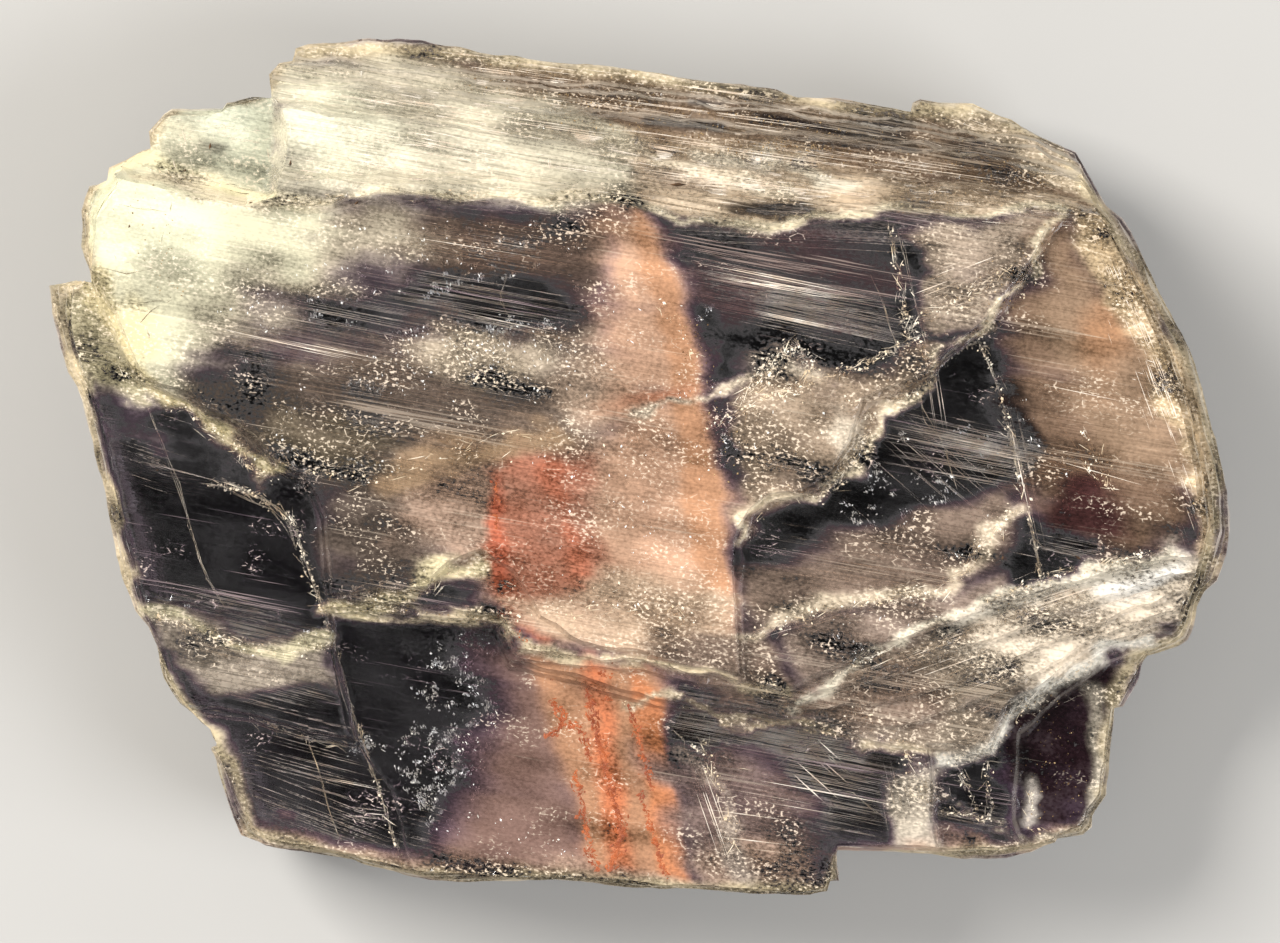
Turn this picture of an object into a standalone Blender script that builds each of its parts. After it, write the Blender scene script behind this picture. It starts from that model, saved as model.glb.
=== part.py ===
"""Selenite crystal: one natural slab of clear gypsum, lying on its flat cleavage face.

Lengths are in millimetres and become metres when a mesh is made. The slab lies in the XY plane, +Z up.
Gypsum splits along the slab's two large faces, so every break in it is a stack of flat steps. The body is
widest at WIDEST_HEIGHT, and its sides climb from there to the two large faces in uneven steps. On the front,
layers have broken off along long ledges and left terraces at lower heights.
"""

import math
import zlib

import bmesh
import bpy
import numpy as np

MM = 0.001

# Driving dimensions
THICKNESS = 30.0
WIDEST_HEIGHT = 11.0
FRONT_STEPS = 8
BACK_STEPS = 4
SIDE_PIECE = 6.5  # longest side of the outline, once long ones are divided
SIDE_REACH = 0.96  # how far the sides go towards FRONT_EDGE and BACK_EDGE
STEP_LEAN = 0.3  # share of each step's width that its riser leans in
LEAST_STEP = 0.25  # of the mean, for a step's height and for its width
STEP_HEIGHTS = (0.3, 1.7)  # from least to most, of the mean
WAVES = (2, 5, 11)  # waves in a step's width, around the outline
WAVE_SIZES = (0.2, 0.5)
BREAK_SPACING = 2.4  # along a ledge, between its corners
BREAK_DEPTH = 0.3  # how far a ledge's corners stand off its line
RISER_LEAN = 0.35  # sideways for each unit up
TIER_BACK = 0.85  # how far the upper half of a ledge stands back from the lower half
CLEAR_OVER = 12.0  # how far a cutter stands out of the body
FAR_X = 84.0  # beyond the body's ends
FAR_Y = 64.0  # beyond its long sides

# Outline at WIDEST_HEIGHT, clockwise from the far left tip
OUTLINE = [
    # top of the left plate
    (-74.1, 22.7), (-72.4, 22.9), (-70.8, 23.2), (-68.4, 22.9),
    # left end of the front plate, up its ragged corner
    (-68.9, 24.7), (-70.0, 27.5), (-69.8, 29.3), (-70.1, 32.2), (-69.0, 35.1), (-66.8, 35.7), (-66.4, 37.6),
    (-64.4, 38.3), (-62.4, 39.5), (-61.1, 39.7), (-61.6, 42.1), (-59.6, 44.2), (-58.5, 44.8), (-56.0, 44.7),
    (-52.2, 44.9), (-51.7, 45.7), (-48.5, 46.1), (-45.9, 46.0), (-46.4, 49.0), (-45.1, 50.6), (-43.5, 50.8),
    (-43.0, 52.5), (-41.1, 53.1), (-36.9, 53.2),
    # long top side
    (-33.8, 53.7), (-26.8, 53.4), (-23.5, 52.6), (-18.3, 51.7), (-10.9, 50.6), (-3.1, 50.0), (7.6, 48.4),
    (17.3, 47.2), (20.1, 46.2), (24.5, 46.0), (34.1, 44.2), (34.3, 45.4), (35.3, 45.8), (41.8, 45.3),
    # rounded right end
    (46.5, 43.4), (50.6, 41.1), (54.6, 39.3), (56.1, 36.9), (58.6, 32.7), (60.5, 31.1), (61.6, 29.2),
    (63.5, 25.5), (64.8, 22.3), (67.0, 18.4), (68.8, 14.9), (70.4, 10.2), (71.4, 6.3), (72.6, 2.2),
    (73.9, -3.2), (74.1, -8.1), (73.7, -11.3), (72.6, -14.4), (71.1, -15.7), (69.9, -17.7), (69.5, -20.0),
    # broken corner, lower right
    (68.7, -21.9), (67.3, -22.6), (63.7, -23.9), (63.0, -25.1), (62.7, -26.7), (60.7, -30.1), (59.6, -30.3),
    (59.5, -33.1), (59.0, -37.8), (58.6, -41.2), (56.8, -43.9), (56.7, -45.2), (55.7, -46.2), (52.4, -46.6),
    (52.0, -47.2), (49.2, -48.4), (45.9, -49.2), (40.8, -49.4), (36.0, -48.6), (26.9, -48.1), (24.6, -48.1),
    # lower side
    (24.9, -50.5), (25.2, -51.8), (24.0, -51.9), (23.7, -53.2), (21.1, -53.7), (14.4, -53.6), (7.2, -53.0),
    (2.4, -53.1), (-2.7, -52.5), (-10.9, -51.9), (-19.7, -52.1), (-26.5, -51.7), (-28.8, -51.3),
    (-34.6, -49.8), (-35.6, -49.3), (-46.9, -47.6), (-49.9, -46.2), (-50.9, -44.0), (-52.0, -40.3),
    # long left side
    (-53.0, -36.8), (-53.7, -35.5), (-52.6, -35.1), (-53.6, -32.8), (-55.4, -31.4), (-57.4, -29.7),
    (-59.4, -26.7), (-60.5, -22.2), (-61.5, -20.2), (-63.2, -18.2), (-64.6, -14.8), (-65.9, -9.3),
    (-66.9, -3.9), (-68.3, 1.9), (-69.7, 7.7), (-70.3, 9.8), (-71.7, 11.8), (-72.7, 14.9), (-73.3, 18.0),
]

# Where the sides reach the height of the front face, before its layers break off
FRONT_EDGE = [
    (-67.2, 30.5), (-63.6, 35.6), (-58.6, 41.2), (-49.0, 43.2), (-42.8, 47.6), (-34.0, 51.6), (-18.0, 49.6),
    (0.0, 47.6), (18.0, 45.0), (33.5, 42.6), (41.5, 43.0), (52.6, 37.4), (57.2, 30.0), (61.2, 21.0),
    (66.5, 4.5), (69.5, -7.5), (67.5, -15.5), (60.5, -23.5), (57.2, -30.5), (56.0, -41.0), (51.5, -44.8),
    (37.0, -46.6), (23.0, -46.2), (21.8, -51.4), (2.0, -51.0), (-26.5, -49.2), (-46.0, -45.4), (-49.0, -41.5),
    (-51.0, -36.5), (-56.5, -27.5), (-60.0, -18.5), (-65.0, 3.0), (-68.8, 17.5), (-67.8, 25.5),
]

# The flat back face's edge, which the slab rests on
BACK_EDGE = [
    (-64.5, 30.0), (-54.0, 38.5), (-38.0, 46.5), (0.0, 43.5), (38.0, 39.0), (52.0, 30.0), (63.0, 10.0),
    (68.5, -8.0), (62.0, -19.0), (54.0, -28.0), (52.0, -40.0), (38.0, -43.5), (20.0, -46.5), (-22.0, -46.5),
    (-44.0, -42.5), (-52.0, -30.0), (-61.0, -8.0), (-68.0, 14.0),
]

# The ledges. Each line has the layer that is left on its left hand, and drops to the next one on its right.
PLATE_FOOT = [
    (-70.5, 24.2), (-68.3, 22.9), (-67.3, 20.2), (-65.3, 16.1), (-63.5, 12.2), (-61.9, 9.8), (-56.0, 7.7),
    (-54.0, 5.7), (-50.6, 4.3), (-48.3, 2.6), (-45.5, -1.1), (-42.4, -1.9), (-40.1, -6.7), (-39.6, -11.7),
    (-39.1, -16.8), (-33.3, -17.4), (-26.1, -17.8), (-17.6, -18.8), (-15.3, -23.1), (-7.5, -24.1),
    (0.8, -24.7), (7.5, -26.3), (14.4, -27.3), (17.5, -28.4),
]
PLATE_NOTCH = [
    (-37.5, -20.5), (-37.6, -16.2), (-26.1, -15.5), (-23.6, -12.4), (-19.9, -10.8), (-15.6, -13.5),
    (-12.6, -19.0), (-7.0, -22.4), (1.0, -23.6), (2.0, -28.0),
]
RIGHT_PLATE_EDGE = [
    (13.7, -30.5), (13.3, -21.7), (12.9, -16.7), (12.9, -9.8), (14.4, -6.2), (16.4, -4.6), (22.1, -3.2),
    (24.5, -1.4), (26.6, 2.7), (28.3, 7.7), (32.0, 8.9), (37.0, 11.4), (43.3, 17.1), (48.3, 23.3),
    (51.4, 28.9), (55.8, 36.0),
]
FAN_TOP = [(27.6, -23.4), (40.1, -19.6), (52.6, -15.0), (65.8, -11.7), (77.0, -11.2)]
FAN_TREADS = [
    [(16.8, -30.2), (30.0, -26.4), (45.0, -21.4), (58.0, -16.4), (66.0, -13.8), (77.0, -13.0)],
    [(18.0, -30.9), (31.0, -29.6), (46.0, -24.6), (59.0, -18.8), (66.0, -16.2), (77.0, -15.4)],
    [(20.0, -32.0), (33.0, -32.6), (46.0, -27.8), (57.0, -21.4), (66.0, -18.4), (77.0, -17.6)],
]
FAN_FOOT = [(43.9, -36.3), (46.6, -30.5), (52.0, -27.2), (57.9, -23.1), (64.5, -21.0), (77.0, -20.0)]
CORNER_SIDE = [(42.0, -64.0), (37.2, -44.0), (36.4, -35.4)]
DEEP_CORNER_SIDE = [(52.0, -64.0), (47.2, -44.0), (47.6, -33.5)]
SECOND_TERRACE = [(-69.0, -15.6), (-61.1, -17.4), (-50.3, -19.3), (-38.4, -21.9)]
THIRD_TERRACE = [(-64.0, -29.6), (-57.4, -30.7), (-48.3, -32.1), (-41.1, -34.2), (-35.1, -35.2)]
CROSS_CRACK = [(-36.8, -22.9), (-34.9, -31.7), (-31.8, -40.4), (-27.6, -56.0)]
WINDOW_TOP = [
    (-37.6, -19.4), (-33.0, -19.9), (-26.1, -20.3), (-18.4, -21.2), (-16.4, -25.4), (-7.5, -27.4),
]
LOW_STRIP = [(-2.6, -29.1), (4.1, -30.4), (12.6, -31.4), (26.9, -33.8), (38.1, -36.2)]
TOP_LEFT_PLATE = [
    (-46.8, 52.0), (-45.4, 40.0), (-46.4, 34.6), (-48.9, 33.9), (-57.0, 35.6), (-67.0, 38.0),
]
TOP_LEDGES = [
    # the height it drops to, then the line from right to left
    (27.8, [(70.0, 26.0), (58.8, 28.9), (52.0, 30.6), (41.8, 31.4), (30.8, 32.4), (23.5, 31.4), (16.1, 30.3),
            (5.3, 31.5), (-1.1, 33.6), (-8.8, 34.0), (-22.9, 33.5), (-33.4, 34.0), (-38.1, 32.8),
            (-41.8, 32.5), (-49.4, 33.8), (-57.0, 35.6), (-61.6, 36.9), (-70.0, 37.4)]),
    (25.2, [(70.0, 28.2), (56.0, 31.9), (45.0, 33.2), (32.6, 33.9), (22.6, 33.3), (7.6, 34.5), (-9.9, 35.8),
            (-27.4, 36.3), (-42.4, 36.8), (-54.9, 38.3), (-66.0, 39.0)]),
    (21.6, [(70.0, 29.6), (58.6, 33.2), (43.6, 35.4), (21.6, 37.0), (7.6, 38.8), (-9.9, 41.5), (-22.4, 43.5),
            (-33.4, 44.5), (-50.0, 46.6)]),
    (17.6, [(70.0, 31.5), (55.8, 36.8), (45.1, 39.5), (32.6, 40.8), (20.1, 42.0), (7.6, 43.5), (-4.9, 44.8),
            (-17.4, 46.0), (-32.4, 48.3), (-50.0, 49.0)]),
    (14.4, [(70.0, 33.5), (56.5, 37.6), (50.0, 41.0), (34.1, 43.2), (26.4, 44.3), (13.9, 45.8), (-2.4, 47.8),
            (-17.4, 48.9), (-29.9, 50.5), (-43.0, 51.4), (-52.0, 52.0)]),
]
BACK_LEDGES = [
    # how high it cuts, then the line
    (1.6, [(80.0, 21.0), (46.0, 26.5), (34.0, 60.0)]),
    (2.6, [(80.0, 27.5), (53.0, 31.5), (47.0, 60.0)]),
    (1.2, [(-80.0, -24.0), (-42.0, -31.5), (-34.0, -60.0)]),
]

# Points off the lines, which close the outlines of what is removed
LOWER_SIDE = [(FAR_X, -FAR_Y), (-FAR_X, -FAR_Y)]
LOWER_LEFT = [(-28.0, -FAR_Y), (-FAR_X, -FAR_Y)]
UPPER_SIDE = [(-FAR_X, 40.0), (-FAR_X, FAR_Y), (FAR_X, FAR_Y), (FAR_X, 26.0)]
RIGHT_PLATE_SIDE = [(FAR_X, 44.0), (FAR_X, -30.5)]
NOTCH_FOOT = [(2.0, -34.0), (-37.5, -34.0)]
LEFT_OF_FOOT = (-FAR_X, 24.2)
STRIP_END = [(-FAR_X, -30.0), (-38.4, -24.0)]
BELOW_CORNER = (40.0, -FAR_Y)
FAN_ROOT = (28.0, -40.0)

# How far one break lies from another
FOOT_CORNER = 14  # the point of PLATE_FOOT where it meets the crack
STRIP_BELOW_FOOT = (0.3, -1.1)
REACH_OVER = 0.8
DEEP_BELOW_FAN = (0.6, -1.6)

# Heights of what each ledge drops to
NOTCH = 28.4
RIGHT_PLATE = 28.2
LEFT_TERRACE = 26.8
STRIP = 25.8
SECOND = 24.8
FAN_HEIGHTS = [25.6, 24.7, 23.9]
LOW_WINDOW = 23.0
THIRD = 22.0
CORNER = 21.2
DEEP_CORNER = 19.4
TOP_LEFT = 20.4

CLEAR_SELENITE = (0.62, 0.56, 0.62, 1.0)


def clear_scene():
    for obj in list(bpy.data.objects):
        bpy.data.objects.remove(obj, do_unlink=True)


def mesh_object(name, points, faces):
    mesh = bpy.data.meshes.new(name)
    mesh.from_pydata([tuple(p) for p in np.asarray(points) * MM], [], faces)
    work = bmesh.new()
    work.from_mesh(mesh)
    bmesh.ops.recalc_face_normals(work, faces=work.faces[:])
    work.to_mesh(mesh)
    work.free()
    obj = bpy.data.objects.new(name, mesh)
    bpy.context.scene.collection.objects.link(obj)
    return obj


def skinned(name, rings):
    """A closed body through these rings of equal count, with flat ends."""
    count = len(rings[0])
    faces = [tuple(range(count))]
    for k in range(len(rings) - 1):
        for i in range(count):
            j = (i + 1) % count
            faces.append((k * count + i, k * count + j, (k + 1) * count + j, (k + 1) * count + i))
    faces.append(tuple((len(rings) - 1) * count + i for i in range(count)))
    return mesh_object(name, np.vstack(rings), faces)


def at_height(flat, height):
    return np.column_stack([flat, np.full(len(flat), height)])


def divided(points, longest):
    """The closed outline with points added along sides over the longest."""
    points = np.asarray(points, float)
    found = []
    for a, b in zip(points, np.roll(points, -1, axis=0)):
        parts = max(1, math.ceil(np.linalg.norm(b - a) / longest))
        found += [a + (b - a) * k / parts for k in range(parts)]
    return np.array(found)


def nearest_on(edge, points):
    """For each point, the nearest point of the closed edge."""
    edge = np.asarray(edge, float)
    best = np.zeros_like(points)
    shortest = np.full(len(points), np.inf)
    for a, b in zip(edge, np.roll(edge, -1, axis=0)):
        side = b - a
        share = np.clip((points - a) @ side / (side @ side), 0, 1)
        at = a + share[:, None] * side
        away = np.linalg.norm(points - at, axis=1)
        closer = away < shortest
        best[closer], shortest[closer] = at[closer], away[closer]
    return best


def growing_shares(sizes):
    """0 to 1 in steps as large as these sizes, none much smaller than the mean."""
    sizes = np.maximum(sizes, LEAST_STEP)
    reached = np.cumsum(sizes, axis=0)
    return np.concatenate([np.zeros_like(reached[:1]), reached / reached[-1]])


def step_widths(count, length, random):
    """A width for each step at each point of the outline, which changes slowly along the outline."""
    around = np.linspace(0, 2 * math.pi, length, endpoint=False)
    widths = np.ones((count, length))
    for k in range(count):
        for waves in WAVES:
            turned = waves * around + random.uniform(0, 2 * math.pi)
            widths[k] += random.uniform(*WAVE_SIZES) * np.sin(turned)
    return widths


def step_rings(outline, edge, from_height, to_height, steps, random):
    """Rings of points that climb from the outline to near the edge in steps: a riser, then a tread."""
    inner = nearest_on(edge, outline)
    shares = SIDE_REACH * growing_shares(step_widths(steps, len(outline), random))
    up = growing_shares(random.uniform(*STEP_HEIGHTS, steps))
    heights = from_height + (to_height - from_height) * up
    rings = []
    for k in range(steps):
        for height, share in (
            (heights[k], shares[k]),
            (heights[k + 1], shares[k] + STEP_LEAN * (shares[k + 1] - shares[k])),
        ):
            rings.append(at_height(outline + share[:, None] * (inner - outline), height))
    return rings


def body():
    """The whole slab before its layers break off: sides in cleavage steps, and two flat faces."""
    random = np.random.RandomState(7)
    outline = divided(OUTLINE, SIDE_PIECE)
    up = step_rings(outline, FRONT_EDGE, WIDEST_HEIGHT, THICKNESS, FRONT_STEPS, random)
    down = step_rings(outline, BACK_EDGE, WIDEST_HEIGHT - 1.0, 0.0, BACK_STEPS, random)
    return skinned("selenite_crystal", down[::-1] + up)


def roughened(line, name):
    """The open line with points added along it, each pushed off it a little, as a break runs."""
    random = np.random.RandomState(zlib.crc32(name.encode()))
    line = np.asarray(line, float)
    found = []
    for a, b in zip(line[:-1], line[1:]):
        along = b - a
        length = np.linalg.norm(along)
        off = np.array([-along[1], along[0]]) / length
        parts = max(1, round(length / BREAK_SPACING))
        for k in range(parts):
            push = random.uniform(-BREAK_DEPTH, BREAK_DEPTH) if k else 0.0
            found.append(a + along * k / parts + off * push)
    found.append(line[-1])
    return np.array(found)


def set_back(line, distance):
    """The line moved to its left hand, towards the layer that is left."""
    line = np.asarray(line, float)
    along = np.gradient(line, axis=0)
    left = np.column_stack([-along[:, 1], along[:, 0]])
    return line + distance * left / np.linalg.norm(left, axis=1)[:, None]


def cutter(target, name, line, around, height, above):
    """Removes all above the height, or below it on the back, from the roughened line to the points around. The
    riser that this leaves leans back to the layer above."""
    line = roughened(line, name)
    low = np.vstack([line, around])
    leaned = np.vstack([set_back(line, RISER_LEAN * abs(above - height)), around])
    out = THICKNESS + CLEAR_OVER if above > height else -CLEAR_OVER
    tool = skinned(name, [at_height(low, height), at_height(leaned, above), at_height(leaned, out)])
    tool.hide_render = True
    tool.display_type = "WIRE"
    modifier = target.modifiers.new(name, "BOOLEAN")
    modifier.operation = "DIFFERENCE"
    modifier.solver = "MANIFOLD"
    modifier.object = tool


def ledge(target, name, line, around, height, above):
    """Breaks off a layer in two tiers, the upper one standing back from the lower."""
    middle = (height + above) / 2
    cutter(target, name + "_low", line, around, height, middle)
    cutter(target, name + "_high", set_back(line, TIER_BACK), around, middle, above)


def moved(line, x, y):
    return [(a + x, b + y) for a, b in line]


def break_plates(target):
    """The two upper plates of the front: the right one is a little lower, and a notch dips at the lower edge."""
    ledge(target, "right_plate", RIGHT_PLATE_EDGE, RIGHT_PLATE_SIDE, RIGHT_PLATE, THICKNESS)
    cutter(target, "notch", PLATE_NOTCH, NOTCH_FOOT, NOTCH, THICKNESS)


def break_lower_half(target):
    """The terraces below the plates, each within the one before. Where two meet, the deeper one reaches over."""
    ledge(target, "left_terrace", PLATE_FOOT + FAN_TOP, LOWER_SIDE + [LEFT_OF_FOOT], LEFT_TERRACE, THICKNESS)
    strip = moved(PLATE_FOOT[FOOT_CORNER:], *STRIP_BELOW_FOOT) + FAN_TREADS[0][1:]
    cutter(target, "strip", strip, LOWER_SIDE + STRIP_END, STRIP, LEFT_TERRACE)
    ledge(target, "second", SECOND_TERRACE + CROSS_CRACK, LOWER_LEFT, SECOND, LEFT_TERRACE)
    ledge(target, "third", THIRD_TERRACE + moved(CROSS_CRACK[2:], REACH_OVER, 0), LOWER_LEFT, THIRD, SECOND)
    window = moved(CROSS_CRACK[::-1], -REACH_OVER, 0) + WINDOW_TOP + LOW_STRIP
    ledge(target, "window", window, [BELOW_CORNER], LOW_WINDOW, STRIP)


def break_fan(target):
    """The slanting break of the lower right, which spreads from one point in treads, and the corner beneath it."""
    above = STRIP
    for k, (line, height) in enumerate(zip(FAN_TREADS, FAN_HEIGHTS)):
        cutter(target, f"fan_{k}", line, [LOWER_SIDE[0], BELOW_CORNER, FAN_ROOT], height, above)
        above = height
    ledge(target, "corner", CORNER_SIDE + FAN_FOOT, LOWER_SIDE[:1], CORNER, above)
    deep = DEEP_CORNER_SIDE + moved(FAN_FOOT[2:], *DEEP_BELOW_FAN)
    cutter(target, "deep_corner", deep, LOWER_SIDE[:1], DEEP_CORNER, CORNER)


def break_top(target):
    """The long ledges of the sloping top side, and the low plate at its left end."""
    above = THICKNESS
    for k, (height, line) in enumerate(TOP_LEDGES):
        ledge(target, f"top_{k}", line, UPPER_SIDE, height, above)
        above = height
    cutter(target, "top_left", TOP_LEFT_PLATE, UPPER_SIDE[:2], TOP_LEFT, TOP_LEDGES[1][0])


def break_back(target):
    """Shallow ledges in two corners of the back face."""
    for k, (height, line) in enumerate(BACK_LEDGES):
        corner = (math.copysign(FAR_X, line[0][0]), math.copysign(FAR_Y, line[-1][1]))
        cutter(target, f"back_{k}", line, [corner], height, 0.0)


def clear_material():
    material = bpy.data.materials.new("clear_selenite")
    material.use_nodes = True
    shader = material.node_tree.nodes["Principled BSDF"]
    shader.inputs["Base Color"].default_value = CLEAR_SELENITE
    shader.inputs["Roughness"].default_value = 0.12
    shader.inputs["Metallic"].default_value = 0.0
    shader.inputs["IOR"].default_value = 1.52
    shader.inputs["Transmission Weight"].default_value = 0.8
    return material


def main():
    clear_scene()
    crystal = body()
    break_plates(crystal)
    break_lower_half(crystal)
    break_fan(crystal)
    break_top(crystal)
    break_back(crystal)
    crystal.data.materials.append(clear_material())


main()
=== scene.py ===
"""The looks of the selenite crystal: a clear slab of gypsum, milky at one corner, with a rusty band.

The slab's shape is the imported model's own, cut into finer triangles and roughened. Lengths are millimetres
until a mesh is made. Places on the slab are given as the photo's pixels, right and down, which the tables
write as "91,279". on_slab() turns them into millimetres: +X is the photo's right, +Y its top, and +Z comes
out of the front face.
"""
import math

import bmesh
import bpy
import numpy as np
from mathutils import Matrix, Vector
from mathutils.bvhtree import BVHTree
from mathutils.geometry import delaunay_2d_cdt


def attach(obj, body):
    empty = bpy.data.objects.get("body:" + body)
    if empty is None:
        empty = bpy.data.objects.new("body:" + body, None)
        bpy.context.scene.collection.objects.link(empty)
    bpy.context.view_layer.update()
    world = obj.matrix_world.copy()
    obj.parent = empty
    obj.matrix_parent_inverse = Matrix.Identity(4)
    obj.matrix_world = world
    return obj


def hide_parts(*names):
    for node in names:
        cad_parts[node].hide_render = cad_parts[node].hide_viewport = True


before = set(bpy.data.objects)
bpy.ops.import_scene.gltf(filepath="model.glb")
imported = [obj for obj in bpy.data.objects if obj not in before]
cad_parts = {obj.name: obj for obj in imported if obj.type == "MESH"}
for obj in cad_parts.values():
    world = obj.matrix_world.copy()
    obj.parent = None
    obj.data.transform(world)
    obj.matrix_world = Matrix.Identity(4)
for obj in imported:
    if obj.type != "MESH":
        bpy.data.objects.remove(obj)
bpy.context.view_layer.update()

MM = 0.001

# The photo's frame, as it lies on the slab.
PIXELS_PER_MM = 8.0
PIXEL_X, PIXEL_Y = 639.0, 466.0  # the pixel over the slab's origin
FRAME_MIDDLE = (640.0, 471.5)
FRAME_WIDTH = 158.8

# The two cleavage directions, in degrees from +X: the fibres and the steep cracks.
FIBRE_TURN = -10.0
STEEP_TURN = -76.0

# Finest triangles of the slab.
TOP_GRID = 0.62
SIDE_EDGE = 0.95
BACK_GRID = 6.0
FRONT = 30.0  # height of the front face
COLLAPSE = 0.004  # triangles thinner than this are dropped
FLAT = 0.99999  # least part of a flat face's normal that points up or down
WIDE_FACE = 4.0  # flat faces wider than this are filled again
CLEAR_OF_RIM = 0.5 * TOP_GRID

# How the slab is roughened.
LIFT = 6.0  # the roughening fades out below this height, so the back stays flat
RAGGED = 0.7  # how far the edges wander
PLATE, PLATE_DEPTH = 1.7, 0.36
STEPS, STEP_DROP = 7, 0.12

# How the slab is clouded. cover goes from 0 for clear to 1, soft is how even it is, and lace and streaks are
# how many thin cracks and lines are in it.
HAZE = "8A7288"
UNPAINTED = {"cover": 0.010, "lace": 0.0, "streaks": 0.2, "soft": 0.2}
TEAR = 2.4
MOST_LINES = 0.34

# The broken sides: their colour and how much of it, their cover, and the heights between which they clear up.
BROKEN_SIDE, SIDE_TINT = "E6DACA", 0.75
SIDE_COVER, SIDE_PATCHES = 0.42, 0.50
SIDE_FADE = (16, 22)

# Clear gypsum. The photo's dark backdrop shows through it, and this absorption paints that darkness in as
# painted shade.
GYPSUM_IOR = 1.52
PAINTED_BACKDROP_DARK = (0.40, 0.36, 0.43, 1.0)
PAINTED_BACKDROP_DARK_DENSITY = 130.0
POLISHED, CLOUDED = 0.06, 0.5  # roughness where clear and where clouded
CLEAR, CRACK_WHITE = "FBF8FA", "F8E6CE"
FINE_LINES = (13.0, 0.22, 0.4)  # length, width and height of the fine cleavage lines
CRUMBS = (0.55, 0.4, 0.5)
LACE_CELLS = (1.7, 0.75, 1.7)

SENSOR, CAMERA_ABOVE = 36.0, 2000.0
FLOOR_REACH = 3.0  # in metres
FLOOR_GAP = 0.15
SKY_SIDES, SKY_TOP = 0.64, 0.11  # the strength of the sky
# Each lamp's name, place and size in metres, power in watts, and colour.
LAMPS = (
    ("key", (-0.72, 0.42, 0.75), 0.5, 17.0, (1.0, 0.98, 0.94)),
    ("fill", (0.75, -0.35, 0.60), 0.6, 8.6, (0.96, 0.98, 1.0)),
)

# The feathery flecks: chips and slivers in each, how the slivers lean in degrees, and their depth in mm.
FLECK_CHIPS, FLECK_ROWS = 12, 4
FLECK_TURN = -70
FLECK_DEPTH = (-0.02, 0.4)

# A crack's slivers are about this long, and no sliver goes below LEAST_HEIGHT.
CRACK_PIECE = 3
LEAST_HEIGHT = 1.0
BAND = 2.5  # a band of lines or grains is this many times as wide as their spread

# The grid on which the height of the slab's upper side is looked up, and the height beside the slab.
GRID_STEP, REACH_X, REACH_Y = 0.4, 75.0, 55.0
BESIDE = -99.0
LOOKS = 17  # heights looked up along a line


# ---------------------------------------------------------------- places, noise and masks

def path(text):
    """A line through pixels, from text such as "91,279 101,306"."""
    return tuple(cell(word) for word in text.split())


def table(text):
    """Rows of pixels and numbers, from text such as "91,279 101,306 40; 12,9 14,9 30"."""
    return tuple(tuple(cell(word) for word in row.split()) for row in text.split(";"))


def cell(word):
    """A pixel, such as "91,279", or a number."""
    if "," in word:
        return tuple(int(number) for number in word.split(","))
    return float(word) if "." in word else int(word)


def on_slab(pixels):
    """Places in mm of pixels of the photo."""
    x, y = np.moveaxis(np.asarray(pixels, float), -1, 0)
    return np.stack([(x - PIXEL_X) / PIXELS_PER_MM, (PIXEL_Y - y) / PIXELS_PER_MM], axis=-1)


def along(turn):
    """The unit direction at an angle in degrees."""
    return np.array([math.cos(math.radians(turn)), math.sin(math.radians(turn))])


def headings(angles):
    """Unit directions at angles in radians."""
    return np.stack([np.cos(angles), np.sin(angles)], axis=-1)


def across(ways):
    """Directions a quarter turn to the left of others."""
    return np.stack([-ways[..., 1], ways[..., 0]], axis=-1)


FIBRE, STEEP = along(FIBRE_TURN), along(STEEP_TURN)


def in_fibres(places):
    """Places turned so that their first axis runs along the fibres."""
    out = places.copy()
    out[:, 0] = places[:, :2] @ FIBRE
    out[:, 1] = places[:, 1] * FIBRE[0] - places[:, 0] * FIBRE[1]
    return out


def lattice(cells, seed):
    """A random value from 0 to 1 for each whole-numbered cell."""
    x, y, z = (cells[:, i].astype(np.uint64) for i in range(3))
    h = x * np.uint64(374761393) + y * np.uint64(668265263) + z * np.uint64(2246822519)
    h = h + np.uint64(seed * 3266489917)
    h = (h ^ (h >> np.uint64(13))) * np.uint64(1274126177)
    h = (h ^ (h >> np.uint64(16))) * np.uint64(2654435761)
    return ((h ^ (h >> np.uint64(15))) & np.uint64(0xFFFFFF)).astype(float) / float(0xFFFFFF)


def noise(places, size, seed):
    """Smooth noise from 0 to 1 whose lumps are about size mm across, in one number or one for each axis."""
    p = places / size + 4096.0
    low = np.floor(p)
    f = p - low
    f = f * f * (3 - 2 * f)
    low = low.astype(np.int64)
    total = np.zeros(len(p))
    for corner in range(8):
        step = np.array([corner & 1, corner >> 1 & 1, corner >> 2 & 1])
        share = np.prod(np.where(step == 1, f, 1 - f), axis=1)
        total += share * lattice(low + step, seed)
    return total


def layered(places, size, seed, layers=3):
    """Noise with finer and fainter layers on top of it, still from 0 to 1."""
    total, weight = np.zeros(len(places)), 0.0
    for i in range(layers):
        total += noise(places, np.asarray(size) / 2 ** i, seed + i) / 2 ** i
        weight += 1 / 2 ** i
    return total / weight


def smooth(x, low, high):
    """0 below low and 1 above high, with a soft step between."""
    t = np.clip((x - low) / (high - low), 0, 1)
    return t * t * (3 - 2 * t)


def to_line(pixels, line, closed=False):
    """How many pixels each place is from a line through the given pixels."""
    line = np.array(line, float)
    ends = np.roll(line, -1, axis=0) if closed else line[1:]
    best = np.full(len(pixels), np.inf)
    for a, b in zip(line, ends):
        way = b - a
        t = np.clip((pixels - a) @ way / max(way @ way, 1e-9), 0, 1)
        best = np.minimum(best, np.hypot(*(pixels - a - t[:, None] * way).T))
    return best


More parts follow.
